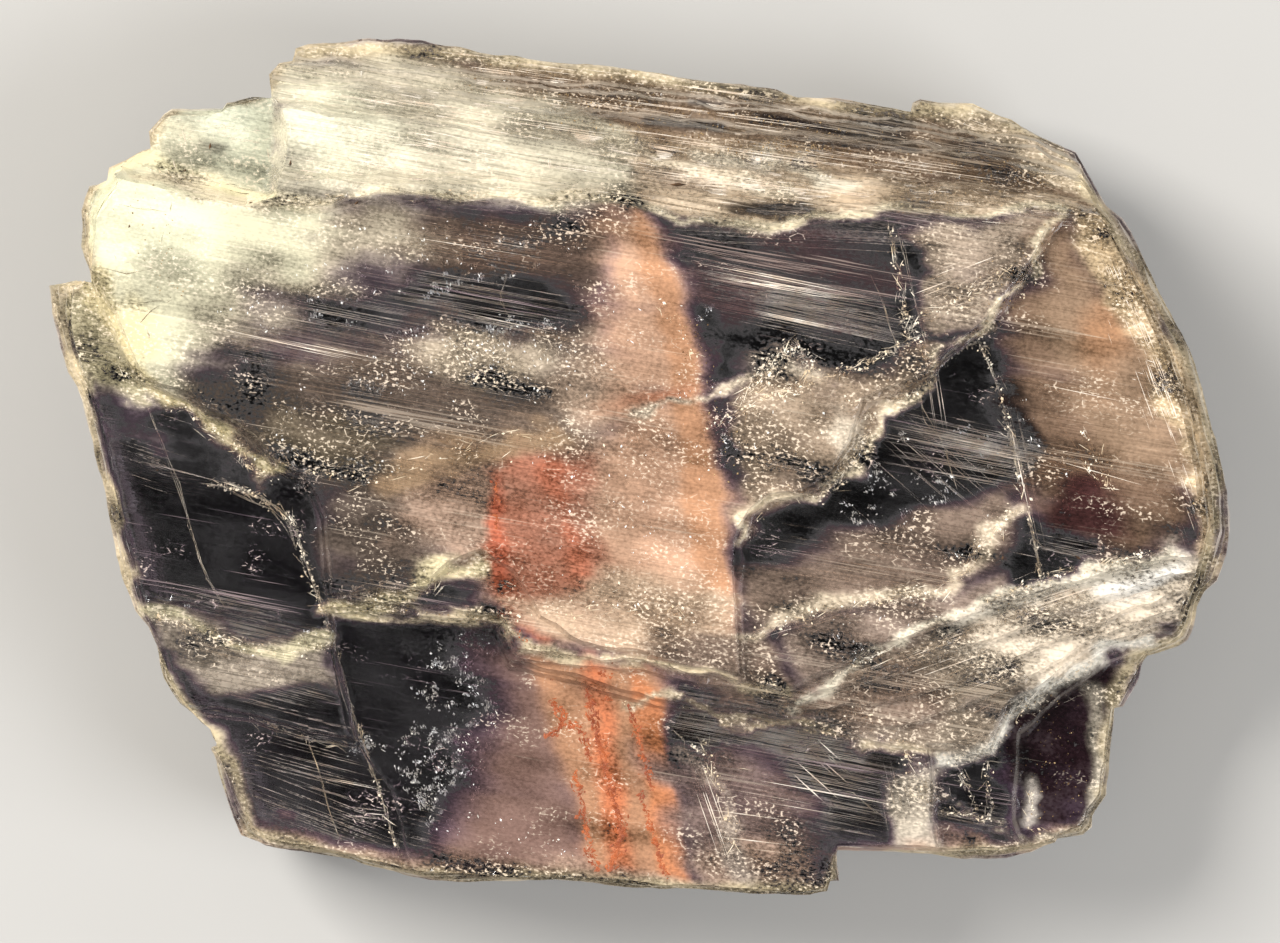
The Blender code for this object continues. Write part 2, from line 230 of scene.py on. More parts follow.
def inside(places, starts, ends):
    """True for each place that a closed set of edges, in the plane, goes round."""
    result = np.zeros(len(places), bool)
    for a, b in zip(starts, ends):
        crosses = (a[1] > places[:, 1]) != (b[1] > places[:, 1])
        at = a[0] + (places[:, 1] - a[1]) * (b[0] - a[0]) / (b[1] - a[1] + 1e-15)
        result ^= crosses & (places[:, 0] < at)
    return result


def area(pixels, line, soft):
    """1 well inside a closed line, 0 well outside it, with an edge soft pixels wide."""
    far = to_line(pixels, line, closed=True)
    line = np.array(line, float)
    return smooth(np.where(inside(pixels, line, np.roll(line, -1, axis=0)), far, -far), -soft / 2, soft / 2)


def blob(pixels, place, size):
    """1 in the middle of an ellipse, 0 at its edge. size is its radii, its turn and the share that fades."""
    width, height, turn, soft = size
    way = along(-turn)
    off = pixels - np.array(place[0], float)
    return smooth(1 - np.hypot(off @ way / width, off @ across(way) / height), 0, soft)


def stripe(pixels, line, width):
    """1 on a line, fading to 0 at width pixels from it."""
    return smooth(1 - to_line(pixels, line) / width, 0, 1)


def linear(colour):
    """Linear red, green and blue of a colour such as "C8A070"."""
    parts = np.array([int(colour[i:i + 2], 16) for i in (0, 2, 4)]) / 255
    return np.where(parts <= 0.04045, parts / 12.92, ((parts + 0.055) / 1.055) ** 2.4)


def part(mask, place, size, colour, cover, lace, streaks, soft=0.2, sway=60.0, torn=0.5):
    """A painted part: its mask, place and size in pixels, its looks, and how its edge wanders and is torn."""
    looks = {"tint": linear(colour), "cover": cover, "lace": lace, "streaks": streaks, "soft": soft}
    return mask, path(place) if isinstance(place, str) else place, size, looks, sway, torn


# ---------------------------------------------------------------- what the photo shows

# Lines of the photo, as its pixels: the edges of the ledges, the cracks and the slab's outline.
UPPER_EDGE = path("91,279 101,306 114,331 133,367 163,397 191,405 215,429 240,443 248,462 261,476 278,468")
ARC = path("210,484 245,489 278,506 294,519 305,552 316,587 327,609")
FRONT_FOOT = path("321,604 373,606 427,609 498,617 506,628 517,651 580,659 645,663 699,677 754,685 781,687")
SECOND_FOOT = path("618,699 669,707 748,715 854,737 903,742 944,756")
LEFT_STEP = path("191,712 253,719 310,738 357,746")
LEFT_SHELF = path("133,615 180,622 230,640 290,655 330,640")
STEEP_LEFT = path("133,367 147,399 169,454 185,489 193,527 207,574 229,609")
STEEP_MIDDLE = path("327,609 332,639 340,663 354,712 379,786 387,813 406,873")
STEEP_LOW = path("310,742 324,780 332,816 351,857")
STEEP_RIGHT = path("976,339 995,383 1009,437 1017,483 1031,540 1039,578")
RIGHT_EDGE = path("1057,218 1034,260 994,315 974,339 944,353 927,377 908,391 870,410 868,429 841,467 835,484 "
                  "814,495 773,492 754,516 740,538")
BEVEL = path("146,171 183,181 264,204 334,204 372,194 456,198 569,194 630,197 681,214 768,224 827,215 "
             "885,207 973,215 1055,218")
MIDDLE_VEIN = path("740,642 790,618 840,606 880,600 940,590 965,570 975,545 1000,520 1020,505")
FAN_TOP = path("776,707 854,663 930,625 1000,594 1080,566 1163,551")
FAN_FOOT = path("944,757 990,750 1005,722 1050,684 1102,651 1150,640")
RIGHT_RIM = path("1109,296 1147,340 1165,380 1188,430 1196,470 1198,510 1202,560")
LOW_RIGHT = path("938,809 984,818 1017,824 1058,836 1090,837")
OUTLINE = path("92,290 85,200 110,165 148,140 160,112 220,96 275,84 282,58 330,48 470,52 620,70 760,92 "
               "905,112 985,106 1056,140 1100,205 1150,270 1190,360 1215,450 1218,530 1200,590 1180,640 "
               "1130,660 1110,700 1108,780 1090,830 1040,845 940,858 835,862 826,888 700,888 560,882 410,876 "
               "330,856 252,832 236,760 215,740 160,680 130,590 100,470 72,380 52,300 92,290")
# Bundles of cleavage lines: start, end, spread in pixels, and how many.
FIBRE_BUNDLES = table("""
    905,755 925,850 40 40; 690,740 730,880 40 30; 840,660 850,740 60 20; 1040,600 1060,680 90 30;
    170,320 470,385 26 60; 180,300 560,375 60 60; 200,350 600,420 60 70; 370,225 600,262 30 40;
    330,270 600,318 40 50; 270,400 600,460 50 70; 330,470 620,530 60 90; 380,540 720,600 50 90;
    480,600 740,650 40 80; 665,265 900,312 26 60; 680,290 930,345 20 50; 660,215 1040,235 30 80;
    740,400 880,425 30 30; 740,455 830,478 14 24; 745,480 815,492 8 14; 860,415 1130,475 22 50;
    870,440 1080,480 30 40; 990,372 1215,418 18 40; 1000,440 1215,500 30 50; 1010,380 1200,440 60 40;
    750,560 1010,600 60 90; 760,620 960,655 40 50; 1010,540 1130,565 18 30; 820,660 1000,700 40 60;
    560,60 910,120 40 90; 380,90 700,150 40 120; 480,130 1060,205 34 200; 300,160 640,196 30 90;
    640,160 1090,212 26 140; 280,60 560,100 40 60; 60,300 130,330 40 40; 70,350 140,380 30 30;
    100,440 190,470 50 20; 150,600 330,640 26 70; 150,640 350,690 40 70; 170,670 300,700 40 30;
    230,740 380,780 60 30; 240,790 400,850 40 50; 380,830 560,880 40 60; 650,740 930,800 60 60;
    660,780 900,830 60 70; 680,820 830,860 50 60; 600,690 940,750 26 90; 640,720 930,775 20 50;
    840,800 1080,845 30 60; 930,700 1010,720 60 30; 1060,600 1190,630 50 60; 1080,250 1180,290 60 50;
    1150,380 1225,400 160 80; 860,430 1010,560 120 24
""")
# Wider and paler lines, as the bundles are.
CRISP_BUNDLES = table("""
    170,318 450,380 8 7; 665,268 885,310 14 16; 690,300 925,347 6 9; 740,480 815,492 5 8;
    180,325 420,372 14 10; 370,232 590,268 14 10; 860,425 1130,480 14 8; 990,372 1215,418 3 3;
    870,420 1090,466 12 7; 742,458 826,478 9 6; 660,285 900,305 16 6; 300,770 396,789 3 2;
    335,806 396,812 10 3; 255,716 350,742 4 3; 650,770 930,820 40 6; 680,830 830,850 30 5;
    900,752 925,850 26 16; 690,740 735,870 20 10; 945,600 975,715 60 10; 850,670 868,735 34 12;
    890,650 905,740 40 12; 925,345 940,440 8 5; 1000,380 1040,560 12 8; 800,745 850,790 30 8;
    950,625 1160,556 14 18; 1000,640 1180,590 24 18; 1012,450 1150,490 8 3; 100,460 250,500 14 4;
    400,300 600,345 10 4
""")
# Lines on the sloping top side, as the bundles are.
SLOPE_BUNDLES = table("""
    380,60 900,130 40 200; 420,110 1060,205 40 320; 560,140 800,185 14 120; 290,80 560,120 40 140;
    280,130 500,175 40 140; 300,165 640,200 24 160; 640,180 1080,215 20 220; 900,110 1090,180 30 90;
    275,100 290,195 30 20; 330,60 345,180 80 26; 420,60 440,190 120 30; 600,90 612,180 120 30;
    860,120 880,190 200 40; 160,120 270,135 30 60; 180,110 200,180 40 18; 1090,215 1200,480 20 100;
    1120,300 1215,560 30 120; 1150,300 1180,310 200 90
""")
# Rays of the fan, as the bundles are.
RAYS = table("""
    790,703 1163,553 12 60; 800,708 1185,566 20 60; 860,728 1195,590 30 60; 930,745 1180,618 24 60;
    960,640 1170,556 20 90; 1000,640 1200,580 34 120; 1040,640 1190,600 34 90; 880,700 1060,620 40 40;
    960,690 1120,640 30 60; 1060,575 1190,556 10 60; 940,752 1000,735 8 30; 745,640 860,605 8 14;
    860,600 970,578 10 12; 905,300 1040,250 30 30; 900,320 1000,290 24 24
""")
# How the lines of each bundle look: their share of its length, their width and depth in mm, and whether they
# keep to the surface just over them.
BUNDLES = (
    (FIBRE_BUNDLES, (0.2, 0.9), (0.05, 0.13), (0.1, 1.5), False),
    (CRISP_BUNDLES, (0.5, 1.0), (0.11, 0.19), (-0.02, 0.12), False),
    (RAYS, (0.1, 0.6), (0.05, 0.2), (0.0, 0.3), False),
    (SLOPE_BUNDLES, (0.05, 0.4), (0.05, 0.16), (0.0, 0.06), True),
)
# Ragged veils: a line, the band's width in pixels, and how many bits in each mm.
LACES = (
    (*UPPER_EDGE, 16, 26), (*ARC, 10, 14), (*FRONT_FOOT, 12, 22), (*SECOND_FOOT, 8, 14), (*LEFT_STEP, 5, 8),
    (*LEFT_SHELF, 14, 16), (*RIGHT_EDGE, 16, 26), (*BEVEL, 12, 14), (*MIDDLE_VEIN, 16, 26),
    (*FAN_TOP, 10, 18), (*FAN_FOOT, 12, 22), (*LOW_RIGHT, 7, 10), (*RIGHT_RIM, 12, 8), (*STEEP_RIGHT, 8, 10),
    (*STEEP_MIDDLE, 6, 8),
) + table("""
    330,598 380,592 430,588 450,567 480,552 18 30;
    740,400 770,370 790,345 812,365 800,390 770,395 740,410 18 34; 700,430 760,400 850,370 930,335 10 16;
    835,484 850,440 868,410 840,400 14 30; 660,300 680,330 700,370 10 14;
    190,400 240,440 300,470 380,480 20 14; 380,480 480,440 560,430 640,440 26 10;
    500,600 560,620 640,600 700,620 30 20; 890,230 905,330 925,360 12 12; 900,330 960,300 1020,270 26 20;
    700,740 720,790 735,850 14 12; 680,735 712,760 724,800 6 10; 905,790 930,800 925,770 905,750 22 40;
    860,700 880,740 40 20; 1075,460 1110,490 1080,430 12 14; 1030,790 1032,815 8 30; 985,760 990,815 10 12;
    960,770 975,810 10 10
""")
# Long cracks: a line, and how many copies.
CRACKS = (
    (*STEEP_LEFT, 4), (*STEEP_MIDDLE, 5), (*STEEP_LOW, 3), (*STEEP_RIGHT, 5), (*ARC, 5), (*RIGHT_RIM, 4),
    (*FAN_TOP, 8), (*LEFT_STEP, 4), (*SECOND_FOOT, 6), (*FRONT_FOOT, 7), (*RIGHT_EDGE, 8), (*LOW_RIGHT, 4),
) + table("""
    222,478 262,494 290,520 298,550 4; 230,490 275,510 296,540 3; 868,275 880,300 890,335 905,365 3;
    900,240 912,300 925,340 2; 915,375 922,420 940,440 955,490 2; 895,230 905,270 925,350 2;
    1110,370 1125,420 1145,470 1180,540 2; 1040,400 1075,450 1105,500 2; 780,700 850,665 920,632 4;
    790,712 860,672 940,634 3; 510,275 500,300 512,320 2; 330,640 345,700 360,740 2; 800,745 775,765 2;
    700,745 722,780 728,820 2; 835,700 890,745 2; 700,760 850,790 900,830 2; 935,757 1022,762 1014,818 3;
    1100,700 1108,760 1098,815 3
""")
# Rusty veins, as the ragged veils are.
VEINS = table("""
    582,662 590,700 600,745 612,790 622,830 610,872 9 26; 560,665 580,664 615,664 645,668 7 22;
    604,668 610,700 10 30; 640,790 655,840 668,882 5 14; 548,700 565,712 560,730 545,735 6 24;
    530,672 545,668 555,680 6 18; 575,770 582,800 590,850 600,872 8 16; 565,720 582,730 590,760 8 14;
    625,690 640,740 652,790 8 10; 500,610 520,640 545,655 8 16; 497,480 498,530 6 8
""")
# Grains of sand: a line, the band's width in pixels, and how many.
SAND = table("""
    470,80 700,118 900,150 1080,195 40 900; 560,105 720,135 850,150 24 700; 690,320 712,420 725,500 26 160;
    1040,240 1000,300 985,330 26 120; 1100,220 1180,380 1215,560 30 200; 140,190 170,240 180,300 60 90;
    330,610 420,612 500,622 5 90; 1020,700 1060,760 1060,820 50 160; 940,620 1140,560 14 90
""")
# Feathery flecks: middle and radii in pixels, and how many.
FLECKS = table("""
    450,345 70,22 70; 520,345 60,24 60; 420,370 80,30 50; 560,370 60,30 40; 300,300 70,40 30;
    420,265 80,36 40; 500,250 80,30 26; 330,250 60,30 14; 270,330 60,40 18; 450,700 30,50 34;
    470,650 30,26 18; 430,760 40,36 46; 450,800 30,36 22; 480,740 18,70 26; 370,745 20,16 10;
    600,560 60,60 26; 650,540 60,50 24; 690,430 40,60 26; 780,440 60,40 24; 900,480 70,60 26;
    950,520 50,40 18; 1060,480 30,30 8; 640,460 40,40 20; 600,340 50,60 22; 560,460 40,30 10;
    350,430 90,50 30; 700,300 40,30 6; 1000,420 40,50 10; 530,830 60,40 14; 880,620 60,30 16; 290,460 40,30 14
""")
# Brown hairline cracks of the milky corner.
HAIRLINES = table("""
    130,175 180,182 232,192 300,200; 166,190 176,196 172,222 166,226 163,265; 118,206 150,212 170,215;
    100,300 140,306 170,300; 120,330 134,360 150,392; 92,216 110,236 120,262; 190,178 260,192 340,200;
    96,268 130,276 160,270; 150,330 154,356 148,380; 84,176 112,168 140,158; 176,300 150,316 140,330
""")
# Dark specks: pixel, length in mm and turn in degrees.
SPECKS = table("""
    678,186 2.2 0; 211,147 0.9 80; 292,165 1.0 82; 252,204 0.7 20; 358,205 0.8 40; 186,171 0.5 60;
    1075,557 1.1 -30; 1000,557 0.7 80; 1171,560 0.5 40; 470,46 0.5 0; 133,228 0.5 70; 84,206 0.6 80;
    905,700 0.4 20; 1210,470 0.5 60; 160,470 0.3 10
""")

# The painted parts, in the order in which they are laid over each other.
CLOUDS = (
    # Lacy grey parts of the front face, between the dark windows.
    part(area, "170,380 300,360 420,330 600,320 620,430 640,560 560,600 450,560 380,600 330,570 330,490 "
               "230,460", 60, "A28E80", 0.16, 0.6, 0.3),
    part(area, "390,470 470,440 560,425 650,430 640,560 540,600 440,550 400,540",
               50, "BC9C86", 0.4, 0.4, 0.4),
    part(stripe, "385,482 440,462 500,446 570,430", 26, "C8A684", 0.42, 0.2, 0.4, soft=0.9),
    part(blob, "480,352", (130, 44, -8, 0.8), "DCC8AE", 0.34, 1.0, 0.3),
    part(blob, "600,380", (70, 60, -8, 0.8), "C8AC94", 0.34, 0.7, 0.3),
    part(blob, "330,440", (120, 40, -10, 0.8), "A8967E", 0.2, 0.9, 0.2),
    part(area, "740,400 790,345 830,372 930,345 960,350 870,410 870,430 835,485 790,500 745,540 735,470",
               26, "CCB298", 0.3, 0.9, 0.3),
    part(blob, "790,362", (44, 34, -20, 0.8), "E6D4BC", 0.44, 1.0, 0.1),
    part(blob, "838,440", (26, 50, 20, 0.8), "EAD8C0", 0.44, 1.0, 0.1),
    part(area, "740,560 840,540 960,500 1010,480 1020,530 960,590 830,610 745,640",
               40, "B49A88", 0.22, 0.5, 0.5),
    part(area, "350,215 600,225 590,290 440,262 300,250 330,225", 30, "A88C7C", 0.13, 0.45, 0.5),
    part(area, "670,225 900,235 905,340 850,370 720,330", 30, "94787C", 0.07, 0.1, 0.5),
    part(area, "905,230 1050,225 985,320 935,340", 24, "C8B29C", 0.36, 0.8, 0.6),
    # The sloping top side: dusty above, streaky and pale below, with near-black painted shade where its slots
    # are.
    part(area, "380,45 560,60 720,85 910,110 1060,150 1110,205 1050,215 880,195 680,165 480,105",
               24, "957C64", 0.38, 0.5, 0.7),
    part(area, "400,100 560,118 700,152 880,168 1110,208 1060,222 880,208 760,222 640,200 460,196 370,190",
               16, "D8C0A2", 0.54, 0.6, 0.9, soft=0.5),
    part(area, "912,100 985,104 1050,135 1080,165 1100,200 1000,150 930,122", 14, "D0BC9E", 0.5, 0.9, 0.5),
    part(stripe, "560,142 700,172 790,186", 12, "ECDCC0", 0.66, 0.9, 0.8),
    part(stripe, "700,160 780,170 860,178", 10, "F0E4CC", 0.62, 0.9, 0.8),
    # The slots: near-black stripes of painted shade, not a colour of the gypsum.
    part(stripe, "648,122 720,130", 10, "2E2628", 0.42, 0.0, 0.2, sway=8, torn=0.2),
    part(stripe, "690,102 720,106", 8, "2E2628", 0.42, 0.0, 0.2, sway=8, torn=0.2),
    part(stripe, "764,118 800,124 858,134", 9, "2E2628", 0.42, 0.0, 0.2, sway=8, torn=0.2),
    part(blob, "600,175", (60, 12, -8, 0.6), "5C5048", 0.12, 0.3, 0.9),
    part(blob, "790,208", (90, 12, -8, 0.6), "5C5048", 0.12, 0.3, 0.9),
    part(blob, "450,88", (70, 12, -8, 0.6), "6C6058", 0.16, 0.3, 0.9),
    part(blob, "870,128", (60, 14, -8, 0.6), "6E5F52", 0.16, 0.3, 0.9),
    # The milky corner, and the low plate behind it.
    part(area, "270,60 400,45 520,80 620,130 640,200 520,205 380,205 272,205",
               40, "E0D6BC", 0.64, 0.6, 0.7, soft=0.8),
    part(blob, "330,130", (110, 80, -8, 0.8), "EAE4C8", 0.82, 0.5, 0.5, soft=0.9),
    part(area, "148,110 225,98 275,92 272,195 180,180 146,160",
               10, "E0E2C8", 0.68, 0.7, 0.3, soft=0.8, sway=14),
    part(blob, "214,148", (26, 9, -8, 0.8), "8A8C80", 0.2, 0.4, 0.7, sway=10),
    part(area, "75,190 100,165 150,155 280,205 400,210 420,250 330,300 230,340 180,400 140,380 95,330 78,260",
               110, "C2B49C", 0.44, 0.8, 0.4, soft=0.4, torn=0.7),
    part(area, "60,180 90,150 150,140 270,190 330,215 300,260 210,310 180,390 130,390 80,330 60,260",
               90, "CEC8AA", 0.86, 0.6, 0.3, soft=0.9, torn=0.35),
    part(blob, "150,222", (120, 90, -12, 0.9), "E6E3C2", 0.95, 0.5, 0.1, soft=1.1, torn=0.3),
    part(blob, "132,340", (34, 50, 8, 0.8), "D0C49C", 0.8, 0.6, 0.1),
    part(stripe, "90,172 150,158 186,176 250,196 300,203", 12, "E6DCB4", 0.95, 0.3, 0.2, sway=20),
    # The orange band on the front face, and its deep red patch.
    part(area, "598,215 636,203 655,240 690,330 715,440 727,540 742,640 746,680 640,660 560,640 540,600 "
               "580,500 606,430 600,300", 70, "D0A486", 0.68, 0.6, 0.3, soft=0.9, sway=40),
    part(area, "634,205 655,240 690,330 715,440 727,540 742,640 706,640 690,540 670,400 650,300 628,225",
               26, "CC9670", 0.7, 0.5, 0.2, soft=0.9, sway=30),
    part(blob, "660,400", (22, 60, -76, 0.9), "C48464", 0.62, 0.4, 0.2, soft=0.7, sway=30),
    part(area, "492,470 530,452 592,456 600,520 606,590 590,640 540,640 506,600 494,540",
               40, "B4745A", 0.58, 0.45, 0.4, soft=0.5, sway=40, torn=0.8),
    part(stripe, "500,480 498,540 510,600 540,640",
                 18, "BC6446", 0.62, 0.3, 0.3, soft=0.3, sway=30, torn=0.9),
    part(stripe, "556,470 566,530 590,600", 20, "BC6E50", 0.6, 0.3, 0.5, soft=0.3, sway=30, torn=0.9),
    part(area, "500,600 600,575 740,600 746,676 640,660 560,645",
               40, "DABA9C", 0.58, 0.9, 0.4, soft=0.7, torn=0.6),
    # The band goes on below the ledge, with lilac haze to its left.
    part(area, "450,625 520,640 560,660 600,885 430,885 460,800 500,700",
               90, "967468", 0.5, 0.2, 0.1, soft=0.9, sway=30, torn=0.4),
    part(area, "528,655 650,660 668,700 676,790 690,888 590,884 574,800 548,720",
               30, "C08C68", 0.62, 0.3, 0.1, soft=0.8, sway=20, torn=0.4),
    part(area, "630,665 664,700 674,790 690,888 660,888 648,800 632,720",
               14, "CE8254", 0.68, 0.2, 0.1, soft=0.7, sway=14, torn=0.4),
    part(stripe, "590,662 602,720 612,790 622,870",
                 26, "C8744A", 0.64, 0.2, 0.1, soft=0.3, sway=20, torn=0.7),
    # The right of the front face: peach wisps over brown, then the pale rim.
    part(area, "1050,225 1115,290 1160,380 1190,460 1190,540 1100,545 1020,500 1000,340",
               60, "A4846C", 0.38, 0.5, 0.5, soft=0.7, torn=0.8),
    part(area, "1050,250 1100,285 1150,370 1180,470 1120,470 1070,400 1040,320",
               50, "B09074", 0.5, 0.4, 0.4, soft=0.8, sway=40),
    part(blob, "1108,330", (44, 80, -20, 0.9), "B28460", 0.58, 0.2, 0.3, soft=0.7, sway=40),
    part(blob, "1080,510", (66, 44, 0, 0.8), "6C4240", 0.26, 0.3, 0.4, soft=0.6),
    part(blob, "1010,430", (34, 60, 0, 0.8), "4A3A3A", 0.08, 0.3, 0.5),
    part(area, "1060,215 1110,215 1160,280 1205,380 1230,470 1225,580 1200,600 1190,500 1170,430 1135,340 "
               "1095,280", 26, "D8BC94", 0.54, 0.9, 0.5, torn=0.6),
    # The bright fan.
    part(area, "776,707 854,660 1000,592 1100,560 1163,549 1215,570 1190,625 1102,651 1041,686 995,725 "
               "985,757 940,757 860,735", 18, "C6B29C", 0.3, 0.7, 0.4, torn=0.8),
    part(area, "960,625 1100,570 1163,549 1215,570 1190,625 1102,651 1030,680 990,680",
               40, "ECDAC2", 0.6, 0.8, 0.4, torn=0.7),
    part(blob, "1140,580", (84, 28, 14, 0.8), "F2EBE0", 0.84, 0.5, 0.5),
    part(stripe, "940,630 1040,588 1163,555", 20, "EADFCB", 0.62, 0.6, 0.7),
    # The brown window at the lower right.
    part(area, "1020,690 1110,660 1110,820 1030,822 1000,770", 22, "2C141C", 0.4, 0.1, 0.0, soft=0.5),
    # Pale rims at the bottom and the left.
    part(stripe, "235,830 330,858 410,878 560,886 700,892 830,892", 30, "BC9A84", 0.5, 0.6, 0.3, torn=0.6),
    part(stripe, "838,858 960,856 1040,846 1090,832", 26, "BC9A84", 0.5, 0.6, 0.3, torn=0.6),
    part(stripe, "50,290 75,380 100,470 130,590 165,680 215,750 230,820", 18, "C8BA98", 0.5, 0.9, 0.3),
    part(area, "48,285 92,285 118,340 150,400 90,385 60,350", 14, "C6BA96", 0.48, 0.8, 0.4),
    part(area, "150,605 240,625 330,650 345,690 220,690 180,660", 20, "C4B4A2", 0.28, 0.6, 0.7),
    part(area, "640,740 740,740 830,800 800,885 690,885 668,800", 50, "A48A82", 0.28, 0.5, 0.5),
    part(area, "880,760 950,765 940,850 890,850", 30, "D2C4B0", 0.46, 1.0, 0.2, torn=0.8),
    part(blob, "750,858", (110, 34, 0, 0.8), "B89A86", 0.52, 0.5, 0.3),
    part(stripe, "688,738 708,765 722,810 735,870", 16, "C8B4A4", 0.4, 0.8, 0.1, torn=0.8),
    part(stripe, "840,700 850,740", 24, "C8B4A4", 0.36, 0.9, 0.1, torn=0.8),
    part(stripe, "1028,780 1032,820", 10, "D8CCC0", 0.36, 1.0, 0.0, sway=16, torn=1.0),
    part(stripe, "1090,690 1100,760 1085,825", 12, "C8BCA8", 0.4, 0.9, 0.1, sway=20, torn=0.8),
    part(stripe, "635,425 700,400 760,375", 9, "E6D2B8", 0.55, 0.9, 0.1, torn=0.8),
    part(area, "650,640 760,640 800,690 900,660 940,700 930,735 800,715 700,700",
               40, "B09684", 0.3, 0.7, 0.5),
    part(area, "780,640 860,610 960,590 1000,560 1010,590 900,650 800,690", 30, "B8A090", 0.3, 0.7, 0.4),
    part(stripe, OUTLINE, 15, "D2C09C", 0.52, 0.8, 0.2, sway=20, torn=0.7),
    # Pale edges of the ledges.
    part(stripe, UPPER_EDGE, 12, "DCCC9E", 0.6, 1.0, 0.2, torn=0.8),
    part(stripe, FRONT_FOOT, 8, "E8D4B0", 0.6, 1.0, 0.2, torn=0.8),
    part(stripe, "335,603 380,598 420,590 450,570 480,556", 16, "E0D0A6", 0.62, 1.0, 0.5, torn=0.7),
    part(stripe, SECOND_FOOT, 7, "DCC8A8", 0.5, 1.0, 0.2, torn=0.8),
    part(stripe, LEFT_SHELF, 12, "D8CCA8", 0.5, 0.9, 0.8, torn=0.8),
    part(stripe, RIGHT_EDGE, 8, "EAD8B8", 0.56, 1.0, 0.2, torn=0.8),
    part(stripe, BEVEL, 10, "EADCBC", 0.62, 1.0, 0.7, torn=0.6),
    part(stripe, MIDDLE_VEIN, 14, "E2CEB2", 0.46, 1.0, 0.2, torn=0.8),
    part(stripe, FAN_TOP, 7, "F0E4CC", 0.6, 0.8, 0.5, torn=0.6),
    part(stripe, FAN_FOOT, 12, "F6EFE0", 0.6, 1.0, 0.1, torn=0.7),
    part(stripe, LOW_RIGHT, 5, "C8BAA4", 0.34, 0.8, 0.2, torn=0.7),
)


# ---------------------------------------------------------------- the slab's mesh

def coordinates(mesh):
    """The points of a mesh, as an array."""
    return np.array([v.co[:] for v in mesh.vertices])


def new_mesh(name, points, faces):
    """A mesh from arrays of points and faces."""
    mesh = bpy.data.meshes.new(name)
    mesh.from_pydata(points.tolist(), [], faces.tolist())
    return mesh


def halved(points, triangles, longest):
    """Halves every edge longer than longest, until none is. Only the edge decides, so pieces still meet."""
    while True:
        edges = np.sort(triangles[:, [[0, 1], [1, 2], [2, 0]]], axis=2).reshape(-1, 2)
        unique, where = np.unique(edges, axis=0, return_inverse=True)
        long = np.linalg.norm(points[unique[:, 0]] - points[unique[:, 1]], axis=1) > longest
        if not long.any():
            return points, triangles
        middle = np.full(len(unique), -1)
        middle[long] = len(points) + np.arange(long.sum())
        points = np.concatenate([points, (points[unique[long, 0]] + points[unique[long, 1]]) / 2])
        m = middle[where.reshape(-1)].reshape(-1, 3)
        count = (m >= 0).sum(axis=1)
        # Each triangle is turned so that its halved edges come first.
        turn = np.zeros(len(m), int)
        for k in range(3):
            a, b, c = m[:, k] >= 0, m[:, (k + 1) % 3] >= 0, m[:, (k + 2) % 3] >= 0
            turn[((count == 1) & a) | ((count == 2) & a & b & ~c)] = k
        rows = np.arange(len(m))[:, None]
        order = (turn[:, None] + np.arange(3)) % 3
        # The three corners of each triangle, and then the middles of its sides.
        six = np.concatenate([triangles[rows, order], m[rows, order]], axis=1)
        first = np.linalg.norm(points[six[:, 0]] - points[six[:, 4]], axis=1)
        second = np.linalg.norm(points[six[:, 3]] - points[six[:, 2]], axis=1)
        cases = (
            (count == 0, ((0, 1, 2),)),
            (count == 1, ((0, 3, 2), (3, 1, 2))),
            (count == 2, ((3, 1, 4),)),
            ((count == 2) & (first <= second), ((0, 3, 4), (0, 4, 2))),
            ((count == 2) & (first > second), ((0, 3, 2), (3, 4, 2))),
            (count == 3, ((0, 3, 5), (3, 1, 4), (5, 4, 2), (3, 4, 5))),
        )
        triangles = np.concatenate([six[which][:, corners] for which, split in cases for corners in split])


def welded(points, triangles):
    """The same mesh with equal points joined and collapsed triangles dropped."""
    _, first, where = np.unique(np.round(points, 5), axis=0, return_index=True, return_inverse=True)
    triangles = where.reshape(-1)[triangles]
    return points[first], triangles[(triangles != np.roll(triangles, 1, axis=1)).all(axis=1)]


def oblique_grid(low, high, spacing):
    """Points of a grid along the two cleavage directions that covers a box."""
    middle, reach = (low + high) / 2, np.linalg.norm(high - low) / 2 + spacing
    n = int(reach / spacing * 1.3) + 1
    i, j = np.meshgrid(np.arange(-n, n + 1), np.arange(-n, n + 1))
    p = middle + spacing * (i.reshape(-1, 1) * FIBRE + j.reshape(-1, 1) * STEEP)
    return p[((p > low) & (p < high)).all(axis=1)]


def fine_slab(mesh):
    """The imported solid's points and triangles, in mm, cut fine enough to be roughened."""
    mesh.calc_loop_triangles()
    points, triangles = welded(coordinates(mesh) / MM, np.array([t.vertices[:] for t in mesh.loop_triangles]))
    a, b, c = (points[triangles[:, k]] for k in range(3))
    normal = np.cross(b - a, c - a)
    normal /= np.linalg.norm(normal, axis=1)[:, None] + 1e-12
    flat = np.abs(normal[:, 2]) > FLAT
    heights = np.round(a[:, 2], 3)
    groups = [flat & (heights == h) & ((normal[:, 2] > 0) == up)
              for h in np.unique(heights[flat]) for up in (0, 1)]
    groups = [g for g in groups if g.sum() > 2 and np.ptp(points[triangles[g].reshape(-1), 0]) > WIDE_FACE]
    parts = [halved(points, triangles[~np.any(groups, axis=0)], SIDE_EDGE)]
    for g in groups:
        # The rim is halved as the sides are, and then the face is filled again.
        up = normal[g][0, 2] > 0
        ways = triangles[g][:, [[0, 1], [1, 2], [2, 0]]].reshape(-1, 2)
        _, where, count = np.unique(np.sort(ways, axis=1), axis=0, return_index=True, return_counts=True)
        rim = halved_rim(points, ways[where[count == 1]], SIDE_EDGE)
        parts.append(refilled(rim, points[triangles[g][0, 0], 2], up, TOP_GRID if up else BACK_GRID))
    counts = np.cumsum([0] + [len(p) for p, _ in parts])
    triangles = np.concatenate([t + n for (_, t), n in zip(parts, counts)])
    return welded(np.concatenate([p for p, _ in parts]), triangles)


